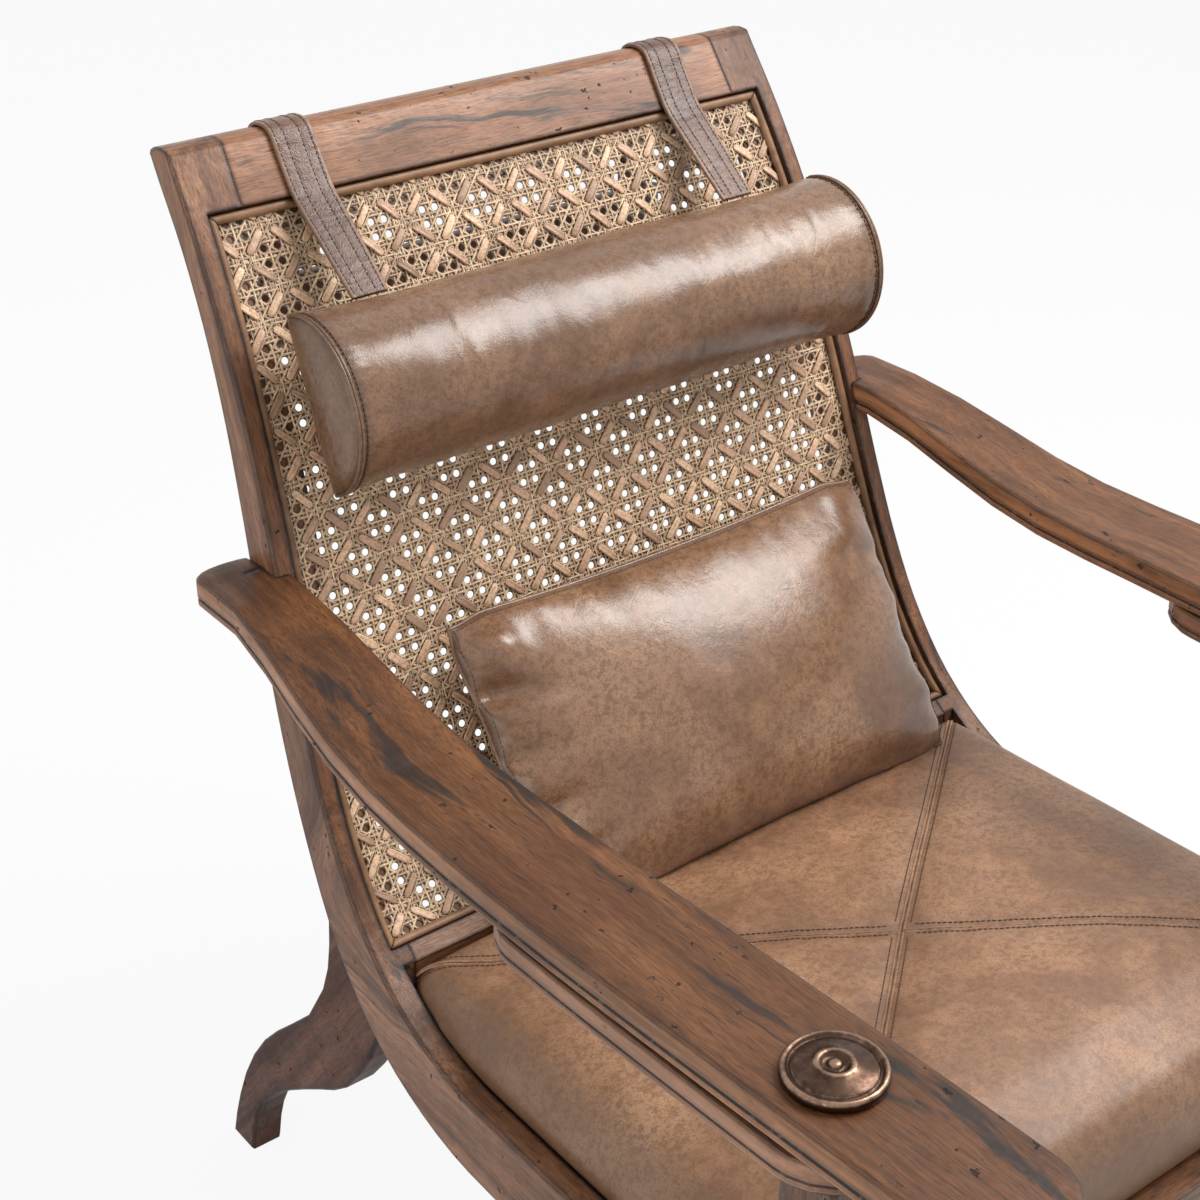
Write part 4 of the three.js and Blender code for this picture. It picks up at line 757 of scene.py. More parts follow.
class PLANTERS_OT_timber(bpy.types.Operator):
    """Worn walnut on the frame, arms, legs and leg-rest boards, raw timber inside, brass washers and pins"""

    bl_idname = "planters_chair.timber"
    bl_label = "Timber"

    def execute(self, context):
        s = settings("wood")
        tint = tuple(s.walnut)
        reach_y, reach_x, up = (0.0, 1.0, 0.0), (1.0, 0.0, 0.0), (0.0, 0.0, 1.0)
        stile = (0.0, math.sin(math.radians(24.0)), math.cos(math.radians(24.0)))
        stile_out = (0.0, -stile[2], stile[1])
        arm_tint = (tint[0] * 1.12, tint[1] * 1.01, tint[2] * 0.82)
        leg_tint = (tint[0] * 0.64, tint[1] * 0.51, tint[2] * 0.54)
        leg_run, leg_out = (0.0, 0.62, -0.78), (0.0, 0.78, 0.62)
        # The sweep of the side frames turns about this place
        sweep = (0.0, 0.18, 0.36)
        coats = [
            (worn_walnut("walnut_arm", reach_y, reach_x, arm_tint, side_sheen=0.72, calm=0.15), ["arm_{}"]),
            (
                worn_walnut("walnut_board", reach_y, reach_x, shade(tint, 1.08), wear=0.7, side_sheen=0.6, calm=0.15),
                ["leg_rest_{}"],
            ),
            # The side frames' walnut is raised 1.60 times in tone: painted sheen on their outer faces
            (
                worn_walnut("walnut_side", stile, stile_out, shade(tint, 1.60), bend=sweep, polish=0.36),
                ["side_frame_{}"],
            ),
            (worn_walnut("walnut_rear_leg", leg_run, leg_out, leg_tint, gleam=0.14), ["rear_leg_{}"]),
            (worn_walnut("walnut_front_leg", up, reach_y, shade(tint, 0.95)), ["front_leg_{}", "leg_collar_{}"]),
            # The crest's walnut is raised 1.95 times in tone: partly its paler wood, partly painted sheen of the lamp
            # on its face
            (
                worn_walnut("walnut_crest", reach_x, up, shade(tint, 1.95), wear=0.6, polish=0.34, calm=0.5),
                ["crest_rail"],
            ),
            (
                worn_walnut("walnut_rail", reach_x, up, shade(tint, 1.30), wear=0.5, polish=0.34),
                ["lower_back_rail", "front_seat_rail"],
            ),
            (plain_wood("bead_wood", tuple(s.bead), 0.36), ["bead_{}", "bead_top", "bead_bottom"]),
            (
                plain_wood("raw_timber", tuple(s.inner), 0.65),
                ["arm_dowel_{}", "seat_bearer_{}", "rear_block_{}", "front_block_{}", "seat_deck"],
            ),
            (
                plain_metal("old_brass", (0.56, 0.42, 0.20), 0.35),
                ["pivot_pin_{}", "washer_below_{}", "washer_above_{}"],
            ),
        ]
        for material, names in coats:
            for pattern in names:
                for name in ([pattern.format(side) for side in SIDES] if "{}" in pattern else [pattern]):
                    if name not in NODES:
                        raise RuntimeError(f"the frame has no node {name}")
                    node = NODES[name]
                    node.data.materials.clear()
                    node.data.materials.append(material)
        return {"FINISHED"}


class Weave:
    """Collects flat strands and raised bars in the plane of the cane, in pitches."""

    # Cane stops short of the side frames' outer faces and of the panel's two ends
    SIDE_MARGIN = 0.0205
    END_MARGIN = 0.0035

    def __init__(self, s, seed):
        self.s = s
        self.random = random.Random(seed)
        self.points, self.faces, self.tones = [], [], []
        self.count = 0

    def lay(self, line, lift, width, thick, sides=4):
        """One strand along line, an (n, 2) array in pitches, lifted by lift metres."""
        line = np.asarray(line, float)
        s = self.s
        centre = np.stack([line[:, 0] * s.pitch_across - s.group_x, line[:, 1] * s.pitch_up + s.group_s], 1)
        run = np.gradient(centre, axis=0)
        run /= np.linalg.norm(run, axis=1, keepdims=True) + 1e-12
        out = np.stack([-run[:, 1], run[:, 0]], 1)
        width = np.broadcast_to(width, len(line))
        thick = np.broadcast_to(thick, len(line))
        lift = np.broadcast_to(lift, len(line))
        rings = []
        raised = sides > 8
        flat = 0.55 if raised else 1.0
        for angle in turns_of(sides):
            across, rise = math.cos(angle), math.sin(angle)
            across = math.copysign(abs(across) ** flat, across)
            rise = math.copysign(abs(rise) ** flat, rise)
            if raised:
                rise *= 0.86 + 0.14 * math.cos(3.0 * math.pi * across)
            off = centre + out * (across * width / 2.0)[:, None]
            rings.append(BACK.points(off[:, 0], off[:, 1], lift + rise * thick / 2.0))
        grid = np.stack(rings, 1)
        z = grid[:, 0, 2]
        arc = centre[:, 1]
        inside = np.abs(centre[:, 0]) < outer_face(z) - self.SIDE_MARGIN
        inside &= (arc > self.END_MARGIN) & (arc < BACK.length - self.END_MARGIN)
        for start, stop in self.runs(inside):
            self.add(grid[start:stop], sides)

    @staticmethod
    def runs(inside):
        """The unbroken stretches, as (start, stop) pairs."""
        spans, start = [], None
        for i, yes in enumerate(list(inside) + [False]):
            if yes and start is None:
                start = i
            elif not yes and start is not None:
                if i - start >= 2:
                    spans.append((start, i))
                start = None
        return spans

    def add(self, grid, sides):
        """One closed strand from its rings of points, with its own tone."""
        rows = len(grid)
        base = self.count
        self.points.append(grid.reshape(-1, 3))
        self.faces.extend(grid_faces(rows, sides, wrap=True, start=base) + end_caps(rows, sides, base))
        self.tones.append(np.full(rows * sides, self.random.random()))
        self.count += rows * sides

    def made(self):
        return np.concatenate(self.points), self.faces, np.concatenate(self.tones)


class PLANTERS_OT_cane(bpy.types.Operator):
    """Woven cane back: fine strands, groups of four round holes, raised diagonal bars"""

    bl_idname = "planters_chair.cane"
    bl_label = "Cane back"

    # Cells laid, counted from the first group of holes: columns, then the number of rows up the back
    COLUMNS = (-14, 40)
    ROWS = 50
    # Half the distance in a pair of strands and the steps along a strand, in pitches
    PAIR = 0.135
    STEP = 0.25
    # Over and under of the strands, and their thickness
    WAVE = 0.00042
    THICK = 0.0011
    # Groups of holes tried for a place on the panel: rows, then columns
    GROUP_ROWS = (-18, 16)
    GROUP_COLUMNS = (-18, 18)

    def rows(self, s):
        """First and last row of cells."""
        low = -int(s.group_s / s.pitch_up) - 2
        return low, low + self.ROWS

    def execute(self, context):
        s = settings("cane")
        columns, rows = self.COLUMNS, self.rows(s)
        fine = Weave(s, 5)
        wide = s.strand
        # Pairs of strands: cells they stand in, cells they run through, noise places, over or under, lift
        lanes = (
            (columns, rows, 3.1, 1.7, self.WAVE, 0.0),
            (rows, columns, 2.3, 8.2, -self.WAVE, 0.0001),
        )
        for stand, run, spread, layer, wave, lifted in lanes:
            for k in range(stand[0], stand[1] + 1):
                for pair, off in ((0, -self.PAIR), (1, self.PAIR)):
                    t = np.arange(run[0], run[1] + self.STEP, self.STEP)
                    sway = np.array([noise.noise((k * spread + pair, v * 0.9, layer)) for v in t]) * 0.05
                    line = [np.full_like(t, k + off) + sway, t]
                    lift = wave * np.cos(math.pi * (t + k + pair)) + lifted
                    fine.lay(np.stack(line if stand is columns else line[::-1], 1), lift, wide, self.THICK)
        span = rows[1] - rows[0]
        for slope in (1.0, -1.0):
            for k in range(columns[0] - span, columns[1] + span):
                y = np.arange(rows[0], rows[1] + self.STEP, self.STEP)
                x = k + 0.5 + slope * (y - rows[0])
                keep = (x > columns[0]) & (x < columns[1])
                if keep.sum() < 3:
                    continue
                lift = 0.00055 * np.cos(2.0 * math.pi * (y + 0.25 * slope)) + 0.0002 * slope
                fine.lay(np.stack([x[keep], y[keep]], 1), lift[keep], wide * 1.05, self.THICK)
        self.fill_cells(fine, wide)
        cane = rattan("straw_cane", tuple(s.straw), 0.38)
        points, faces, tones = fine.made()
        piece("cane_weave", points, faces, "chair", cane, ["cane_panel"], {"tone": tones})
        self.backing(s)

        bars = Weave(s, 11)
        for gx, gy in self.groups():
            for cx, cy, slope in ((1.0, -1.0, 1.0), (1.0, 1.0, -1.0)):
                self.bar(bars, gx + cx, gy + cy, slope)
        points, faces, tones = bars.made()
        bark = rattan("cane_bar", tuple(s.bark), 0.45, 700.0, 0.33)
        piece("cane_bars", points, faces, "chair", bark, (), {"tone": tones})
        return {"FINISHED"}

    def backing(self, s):
        """The close under-weave: a thin layer that is open only at the round holes, coloured near black as painted
        shade.
        """
        holes = {(gx + a, gy + b) for gx, gy in self.groups() for a in (-1, 0) for b in (-1, 0)}
        # The layer's two faces, behind the middle of the weave
        front, back = -0.0002, -0.0004
        corners = ((-0.5, -0.5), (0.5, -0.5), (0.5, 0.5), (-0.5, 0.5))
        around = 16
        turns = turns_of(around)
        square = []
        for turn in turns:
            c, n = math.cos(turn), math.sin(turn)
            reach = 0.5 / max(abs(c), abs(n))
            square.append((c * reach, n * reach))
        share = (s.hole / s.pitch_across, s.hole / s.pitch_up)
        circle = [(math.cos(turn) * share[0], math.sin(turn) * share[1]) for turn in turns]
        flat, lifts, faces = [], [], []
        low_row, high_row = self.rows(s)
        for column in range(*self.COLUMNS):
            for row in range(low_row - 1, high_row + 1):
                cx, cy = column + 0.5, row + 0.5
                x, arc = cx * s.pitch_across - s.group_x, cy * s.pitch_up + s.group_s
                if not -0.5 * s.pitch_up < arc < BACK.length + 0.5 * s.pitch_up:
                    continue
                if abs(x) > outer_face(np.interp(arc, BACK.s, BACK.z)) - 0.015:
                    continue
                start = len(flat)
                if (column, row) in holes:
                    for ring, lift in ((square, front), (circle, front), (circle, back), (square, back)):
                        flat += [(cx + a, cy + b) for a, b in ring]
                        lifts += [lift] * around
                    faces += grid_faces(4, around, wrap=True, start=start)
                else:
                    for lift in (front, back):
                        flat += [(cx + a, cy + b) for a, b in corners]
                        lifts += [lift] * 4
                    faces.append(tuple(range(start, start + 4)))
                    faces.append(tuple(range(start + 7, start + 3, -1)))
        flat = np.array(flat)
        arc = np.clip(flat[:, 1] * s.pitch_up + s.group_s, 0.003, BACK.length - 0.003)
        edge = outer_face(np.interp(arc, BACK.s, BACK.z)) - Weave.SIDE_MARGIN
        x = np.clip(flat[:, 0] * s.pitch_across - s.group_x, -edge, edge)
        points = BACK.points(x, arc, np.array(lifts))
        # The under-weave's near-black colour is painted shade seen between the strands
        dark = rattan("under_cane_shade", shade(tuple(s.straw), 0.15), 0.2)
        marks = {"tone": [0.5] * len(points)}
        piece("cane_backing", points, faces, "chair", dark, (), marks, smooth=False)

    def groups(self):
        """Middles of the groups of four round holes, in pitches."""
        for j in range(*self.GROUP_ROWS):
            for i in range(*self.GROUP_COLUMNS):
                gx, gy = 4 * i + 2 * j, 2 * j
                if self.COLUMNS[0] - 1 <= gx <= self.COLUMNS[1]:
                    yield gx, gy

    def fill_cells(self, fine, wide):
        """Extra strands that close the blocks between the groups of holes."""
        t = np.linspace(-1.0, 1.0, 7)
        for gx, gy in self.groups():
            cx, cy = gx + 2.0, gy
            for off in (-0.5, 0.5):
                lift = 0.0004 * np.cos(math.pi * t * 2.0)
                fine.lay(np.stack([np.full_like(t, cx + off), cy + t * 1.08], 1), lift, wide * 0.9, 0.0010)
                fine.lay(np.stack([cx + t * 1.08, np.full_like(t, cy + off)], 1), -lift, wide * 0.9, 0.0010)
            for off in (-0.32, -0.68, 0.32, 0.68):
                jog = fine.random.uniform(-0.05, 0.05)
                fine.lay(np.stack([cx + off + jog + t * 0.22, cy + t], 1), 0.0002 + 0 * t, wide * 0.62, 0.0009)
            for slope in (1.0, -1.0):
                for k, half in ((0.0, 1.0), (1.0, 0.5), (-1.0, 0.5)):
                    x = cx + k * 0.5 + t * half
                    y = cy - slope * k * 0.5 + slope * t * half
                    fine.lay(np.stack([x, y], 1), 0.0005 * np.sin(math.pi * t * 3.0), wide * 0.9, 0.0010)

    @staticmethod
    def bar(bars, cx, cy, slope):
        """One raised, fluted bar, slightly bowed and turned, with rounded ends."""
        rng = bars.random
        half = 0.90 * rng.uniform(0.94, 1.05)
        angle = math.atan2(slope, 1.0) + math.radians(rng.uniform(-4.0, 4.0))
        t = np.array([-1.0, -0.985, -0.94, -0.84, -0.6, -0.3, 0.0, 0.3, 0.6, 0.84, 0.94, 0.985, 1.0])
        bow = rng.uniform(-0.02, 0.02)
        x = cx + math.cos(angle) * t * half - math.sin(angle) * bow * (1 - t * t)
        y = cy + math.sin(angle) * t * half + math.cos(angle) * bow * (1 - t * t)
        taper = np.clip(1.0 - np.abs(t) ** 9, 0.04, 1.0) ** 0.55
        width = bars.s.bar * rng.uniform(0.88, 1.10) * taper
        lift = 0.0018 - 0.0012 * np.abs(t) ** 3 + rng.uniform(-0.0001, 0.0002)
        bars.lay(np.stack([x, y], 1), lift, width, 0.0027 * taper, sides=22)


class PLANTERS_OT_rosettes(bpy.types.Operator):
    """Turned bronze rosettes over the leg-rest pivots"""

    bl_idname = "planters_chair.rosettes"
    bl_label = "Pivot rosettes"

    # Radius and height in millimetres, then how far the place is rubbed
    PROFILE = [
        (0.0, 5.0, 0.0), (8.3, 5.0, 0.0), (8.5, 0.1, 0.0), (31.4, 0.0, 0.0), (32.6, 0.5, 0.3), (33.0, 1.8, 0.4),
        (33.0, 4.6, 0.4), (32.8, 5.8, 0.7), (32.1, 6.9, 0.9), (31.0, 7.6, 1.0), (29.8, 7.5, 0.7), (28.8, 6.8, 0.3),
        (28.1, 5.6, 0.0), (27.6, 4.9, 0.0), (27.0, 5.0, 0.0), (26.5, 5.9, 0.3), (25.8, 6.6, 0.7), (24.4, 7.1, 0.25),
        (22.0, 7.8, 0.1), (19.0, 8.5, 0.1), (16.0, 9.2, 0.15), (13.8, 9.9, 0.3), (12.4, 10.7, 0.8), (11.2, 11.0, 1.0),
        (10.0, 10.8, 0.8), (9.0, 10.0, 0.4), (7.8, 8.6, 0.0), (6.6, 8.0, 0.0), (5.4, 8.0, 0.0), (4.7, 8.4, 0.1),
        (4.4, 9.3, 0.4), (3.9, 10.2, 0.8), (2.6, 10.8, 1.0), (0.0, 11.0, 1.0),
    ]

    def execute(self, context):
        bronze = rubbed_bronze("rubbed_bronze")
        rub = settings("wood").bronze_rub
        around = 96
        for side, sign in SIDES.items():
            low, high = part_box(f"rosette_{side}")
            middle = (low + high) / 2.0
            points, marks = [], []
            profile = self.PROFILE[1:-1]
            for radius, height, worn in profile:
                for angle in turns_of(around):
                    x, y = math.cos(angle), math.sin(angle)
                    dent = 0.0
                    if 1.0 < height < 10.9:
                        dent = noise.noise((x * 2.2 + sign, y * 2.2, radius / 9.0)) * 0.00010
                    reach = radius / 1000.0 + dent * 0.5
                    points.append(Vector((middle.x + x * reach, middle.y + y * reach, low.z + height / 1000.0 + dent)))
                    marks.append(worn * rub)
            faces = grid_faces(len(profile), around, wrap=True)
            for ring, (radius, height, worn) in ((0, self.PROFILE[0]), (len(profile) - 1, self.PROFILE[-1])):
                centre = len(points)
                points.append(Vector((middle.x, middle.y, low.z + height / 1000.0)))
                marks.append(worn * rub)
                faces += fan(around, ring, centre, ring == 0)
            piece(
                f"bronze_rosette_{side}", points, faces, "chair", bronze,
                [f"rosette_{side}"], {"rub": marks},
            )
        return {"FINISHED"}


class PLANTERS_OT_seat_pad(bpy.types.Operator):
    """Crowned leather seat with rounded sides and crossed seams, each sewn along both lips"""

    bl_idname = "planters_chair.seat_pad"
    bl_label = "Seat pad"

    # Crown from the back to the front, as shares of its full rise
    CROWN = [(0.0, 0.0), (0.10, 0.16), (0.5, 0.66), (0.8, 1.0), (0.93, 0.86), (1.0, 0.30)]
    # Where the seams cross, the corners' radius in plan, the gap to the side frames, the rounding of the top edge
    SEAM_CROSS = -0.085
    CORNER = 0.0207
    SOFT_GAP = 0.0216
    ROUND = 0.026
    # Half width and half length from which the sides turn the corner
    SQUARE = (0.32, 0.252)
    # Ends of the crossed seams: sideways, then short of the pad's ends; the sewn lips stop before them
    SEAM_END = (0.312, 0.004)
    LIP_END = (0.309, 0.006)
    # Step, length and thickness of a stitch
    STITCH = (0.0044, 0.0031, 0.00046)
    # The side below the edge: how far in, how far down
    SKIRT = [
        (0.0, 0.0290), (0.0003, 0.0340), (0.0010, 0.0400), (0.0022, 0.0460),
        (0.0045, 0.0510), (0.0080, 0.0545), (0.0115, 0.0561),
    ]

    def execute(self, context):
        s = settings("leather")
        low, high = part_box("seat_pad")
        self.front, self.back, self.base = low.y, high.y, low.z
        self.edge = self.base + self.SKIRT[-1][1]
        self.crown = s.pad_crown
        hide = glazed_leather("seat_hide", tuple(s.hide), gloss=0.50)
        columns, rows = 170, 136
        points, marks = [], []
        for v in map(self.eased, span_of(rows)):
            for u in map(self.eased, span_of(columns)):
                points.append(self.top_point(u, v))
                marks.append(self.seam_dark(points[-1], u, v))
        faces = [tuple(reversed(face)) for face in grid_faces(rows, columns)]
        rim = rim_of(rows, columns)
        previous = rim
        middle = Vector((0.0, (self.front + self.back) / 2.0, 0.0))
        for inset, drop in self.SKIRT:
            ring = []
            for index in rim:
                p = points[index]
                inward = middle - p
                inward.z = 0.0
                at_side = (abs(p.x) / self.SQUARE[0]) ** 8
                inward.x *= at_side
                inward.y *= (abs(p.y - middle.y) / self.SQUARE[1]) ** 8
                inward.normalize()
                widen = SIDE_LEAN * drop * math.copysign(1.0, p.x) * at_side
                ring.append(len(points))
                points.append(Vector((p.x + widen, p.y, self.edge - drop)) + inward * inset)
                # Painted shade: the side below the edge is made almost fully dark
                marks.append(0.95 + 0.05 * smooth_step(0.03, 0.050, drop))
            for k in range(len(rim)):
                n = (k + 1) % len(rim)
                faces.append((previous[k], previous[n], ring[n], ring[k]))
            previous = ring
        faces.append(tuple(reversed(previous)))
        pad = piece("leather_seat", points, faces, "chair", hide, ["seat_pad"], {"seam": marks})
        self.sew(s, hide)
        return {"FINISHED"}

    @staticmethod
    def eased(t):
        """Draws rows of points closer together towards the edges."""
        return 0.62 * math.sin(t * math.pi / 2.0) + 0.38 * t

    def plan(self, u, v, inset=0.0):
        """The rounded rectangle of the seat at its edge seam."""
        half_width = outer_face(self.edge) - self.SOFT_GAP - inset
        half_length = (self.back - self.front) / 2.0 - inset
        x, y = u * half_width, -v * half_length
        radius = self.CORNER
        core_x = min(max(x, radius - half_width), half_width - radius)
        core_y = min(max(y, radius - half_length), half_length - radius)
        rest_x, rest_y = x - core_x, y - core_y
        rest = math.hypot(rest_x, rest_y)
        if rest > 0.0:
            reach = max(abs(rest_x), abs(rest_y)) / rest
            x, y = core_x + rest_x * reach, core_y + rest_y * reach
        return x, (self.front + self.back) / 2.0 + y

    def seam_distance(self, x, y):
        """Distance in plan to the nearest of the four crossed seams."""
        best = 1.0
        ax, ay = abs(x), y
        for end_y in (self.back - self.SEAM_END[1], self.front + self.SEAM_END[1]):
            dx, dy = self.SEAM_END[0], end_y - self.SEAM_CROSS
            size = dx * dx + dy * dy
            t = min(1.0, max(0.0, (ax * dx + (ay - self.SEAM_CROSS) * dy) / size))
            best = min(best, math.hypot(ax - dx * t, ay - self.SEAM_CROSS - dy * t))
        return best

    def height(self, x, y, u, v):
        """Height of the leather over a place in plan: crown, rounded edge, seams and soft hollows."""
        along = (1.0 + v) / 2.0
        side = max(0.0, 1.0 - abs(u) ** 3.4) ** 0.85
        spread = [min(1.0, max(0.0, along + k * 0.018)) for k in range(-5, 6)]
        crown = self.crown * sum(table_at(self.CROWN, at) for at in spread) / 11.0 * side
        rim = min(1.0 - abs(u), 1.0 - abs(v)) * 0.28
        crown += 0.0065 * (1.0 - math.exp(-rim / 0.012))
        inside = 1.0 - min(1.0, rim / self.ROUND)
        crown -= self.ROUND * (1.0 - math.sqrt(max(0.0, 1.0 - inside * inside)))
        d = self.seam_distance(x, y)
        fade = smooth_step(0.0, 0.05, rim)
        groove = 0.0036 * bell(d, 0.020) + 0.0022 * bell(d, 0.0024)
        soft = noise.noise((x * 9.0, y * 9.0, 3.0)) * 0.0022 + noise.noise((x * 24.0, y * 24.0, 7.0)) * 0.0006
        pucker = bell(d, 0.020) * noise.noise((x * 70.0, y * 70.0, 1.0)) * 0.0007
        return self.edge + crown - groove * (0.3 + 0.7 * fade) + (soft + pucker) * fade

    def top_point(self, u, v):
        x, y = self.plan(u, v)
        return Vector((x, y, self.height(x, y, u, v)))

    def seam_dark(self, p, u, v):
        """How far the hide darkens: the seam lines, painted shade in the seam grooves and down the rounded sides."""
        d = self.seam_distance(p.x, p.y)
        rim = min(1.0 - abs(u), 1.0 - abs(v)) * 0.28
        # Painted shade over the broad seam groove, then the dark seam line
        dark = 0.30 * bell(d, 0.030) + 0.55 * bell(d, 0.0040)
        # Painted shade down the rounded sides
        dark += 0.84 * bell(rim, 0.031)
        return min(1.0, dark)

    def surface(self, x, y, lift=0.0):
        """A point on the crowned top over a place in plan."""
        half_width = outer_face(self.edge) - self.SOFT_GAP
        half_length = (self.back - self.front) / 2.0
        u = max(-1.0, min(1.0, x / half_width))
        v = max(-1.0, min(1.0, -(y - (self.front + self.back) / 2.0) / half_length))
        return Vector((x, y, self.height(x, y, u, v) + lift))

    def sew(self, s, hide):
        """Flat lips and rows of stitches along the four arms of the crossed seams."""
        dark = thread("brown_thread", tuple(s.thread))
        welts, stitches = [], []
        for sign in (-1.0, 1.0):
            for end_y in (self.back - self.LIP_END[1], self.front + self.LIP_END[1]):
                a, b = Vector((0.0, self.SEAM_CROSS)), Vector((sign * self.LIP_END[0], end_y))
                run = (b - a).normalized()
                out = Vector((-run.y, run.x))
                steps = 110
                lane = [a.lerp(b, k / (steps - 1)) for k in range(steps)]
                for off in (-0.0016, 0.0016):
                    lip = [self.surface(p.x + out.x * off, p.y + out.y * off, 0.0001) for p in lane]
                    welts.append(tube(lip, 0.0013, 7, squash=0.7))
                for off in (-0.0062, 0.0062):
                    lane_path = [self.surface(p.x + out.x * off, p.y + out.y * off, 0.0004) for p in lane[3:]]
                    stitches.append(stitch_row(lane_path, *self.STITCH))
        points, faces = joined(welts)
        piece("seat_welts", points, faces, "chair", hide, (), {"seam": [0.25] * len(points)})
        points, faces = joined(stitches)
        piece("seat_stitches", points, faces, "chair", dark)


class PLANTERS_OT_lumbar(bpy.types.Operator):
    """Knife-edge lumbar cushion with a thin welt"""

    bl_idname = "planters_chair.lumbar"
    bl_label = "Lumbar cushion"

    # Lean of the middle plane, half thickness at the seam, place of the stitch line as a share of the half width
    LEAN = math.radians(33.0)
    EDGE = 0.0016
    SEWN = 0.975
    # Radius of the welt, then step, length and thickness of a stitch
    WELT = 0.0019
    STITCH = (0.0044, 0.0031, 0.0004)
    # Tucks at the side seams: side, level, depth
    TUCKS = [
        (-0.96, 0.50, 0.0120), (-0.96, 0.08, 0.0060), (-0.96, -0.30, 0.0150),
        (-0.96, -0.66, 0.0100), (0.96, 0.40, 0.0050), (0.96, -0.15, 0.0050),
    ]
    # Plump spots between the tucks: across, along, height
    EARS = [(-0.84, 0.76, 0.0085), (-0.86, -0.48, 0.0070), (-0.88, -0.08, 0.0040)]

    def execute(self, context):
        s = settings("leather")
        low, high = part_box("lumbar_cushion")
        self.middle_x = (low.x + high.x) / 2.0
        centre = self.find_centre()
        self.centre = Vector((self.middle_x, centre[0], centre[1]))
        self.size = (s.lumbar_width / 2.0, s.lumbar_height / 2.0, s.lumbar_thickness / 2.0)
        hide = glazed_leather("lumbar_hide", shade(tuple(s.hide), 0.70), gloss=0.27)
        columns, rows = 180, 120
        points, marks, faces = [], [], []
        for face_sign in (1.0, -1.0):
            start = len(points)
            for v in span_of(rows):
                for u in span_of(columns):
                    points.append(self.point(u, v, face_sign))
                    rim = min(1.0 - abs(u), 1.0 - abs(v))
                    # Painted shade: darker towards the seams, where the cover turns away
                    marks.append(0.70 * bell(rim, 0.035))
            made = grid_faces(rows, columns, start=start)
            faces += made if face_sign > 0 else [tuple(reversed(face)) for face in made]
        rim = rim_of(rows, columns)
        back = rows * columns
        for k in range(len(rim)):
            n = (k + 1) % len(rim)
            faces.append((rim[n], rim[k], rim[k] + back, rim[n] + back))
        cushion = piece(
            "leather_lumbar", points, faces, "lumbar", hide, ["lumbar_cushion"], {"seam": marks}
        )
        welt_path = [(points[i] + points[i + back]) / 2.0 for i in rim]
        normals = [self.out()] * len(welt_path)
        welt_points, welt_faces = tube(welt_path, self.WELT, 8, closed=True, normals=normals)
        welt_marks = {"seam": [0.2] * len(welt_points)}
        piece("lumbar_welt", welt_points, welt_faces, "lumbar", hide, (), welt_marks)
        stitch_path = []
        across, upward = span_of(columns), span_of(rows)
        for i in rim + rim[:1]:
            u, v = across[i % columns], upward[i // columns]
            sewn_v = v * (1.0 - (1.0 - self.SEWN) * 1.7)
            stitch_path.append(self.point(u * self.SEWN, sewn_v, 1.0) + self.out() * 0.0003)
        stitch_points, stitch_faces = stitch_row(stitch_path, *self.STITCH)
        sewing = thread("lumbar_thread", tuple(s.thread))
        piece("lumbar_stitches", stitch_points, stitch_faces, "lumbar", sewing)
        return {"FINISHED"}

    def find_centre(self):
        """The cushion's middle from its frame solid: the knife edge lies in the leaning middle plane."""
        spots = [v.co for v in NODES["lumbar_cushion"].data.vertices]
        left = min(p.x for p in spots)
        edge = [p for p in spots if p.x < left + 0.02]
        y = (min(p.y for p in edge) + max(p.y for p in edge)) / 2.0
        z = (min(p.z for p in edge) + max(p.z for p in edge)) / 2.0
        return y, z

    def out(self):
        """Direction from the middle plane towards the sitter."""
        return Vector((0.0, -math.cos(self.LEAN), math.sin(self.LEAN)))

    def point(self, u, v, face_sign):
        """A point of the front (1) or back (-1) cover at shares u across and v up, from -1 to 1."""
        a = math.sin(u * math.pi / 2.0) * 0.5 + u * 0.5
        b = math.sin(v * math.pi / 2.0) * 0.5 + v * 0.5
        swell = 0.76 * max(0.0, 1.0 - abs(a) ** 2.5) ** 0.56 * max(0.0, 1.0 - b * b) ** 0.72
        swell += 0.24 * max(0.0, (1.0 - abs(a) ** 6.0) * (1.0 - abs(b) ** 5.0)) ** 0.45
        swell *= 1.0 - 0.26 * smooth_step(0.05, 0.95, -a)
        tip = smooth_step(0.80, 1.0, abs(a)) * smooth_step(0.76, 1.0, abs(b))
        x = a * (1.0 - 0.045 * (1.0 - b * b)) * self.size[0] - math.copysign(0.0065 * tip, a)
        up = b * (1.0 - 0.065 * (1.0 - a * a)) * self.size[1] - math.copysign(0.0070 * tip, b)
        from_side, from_end = (1.0 - abs(a)) * self.size[0], (1.0 - abs(b)) * self.size[1]
        rising = min(1.0, swell * 4.0)
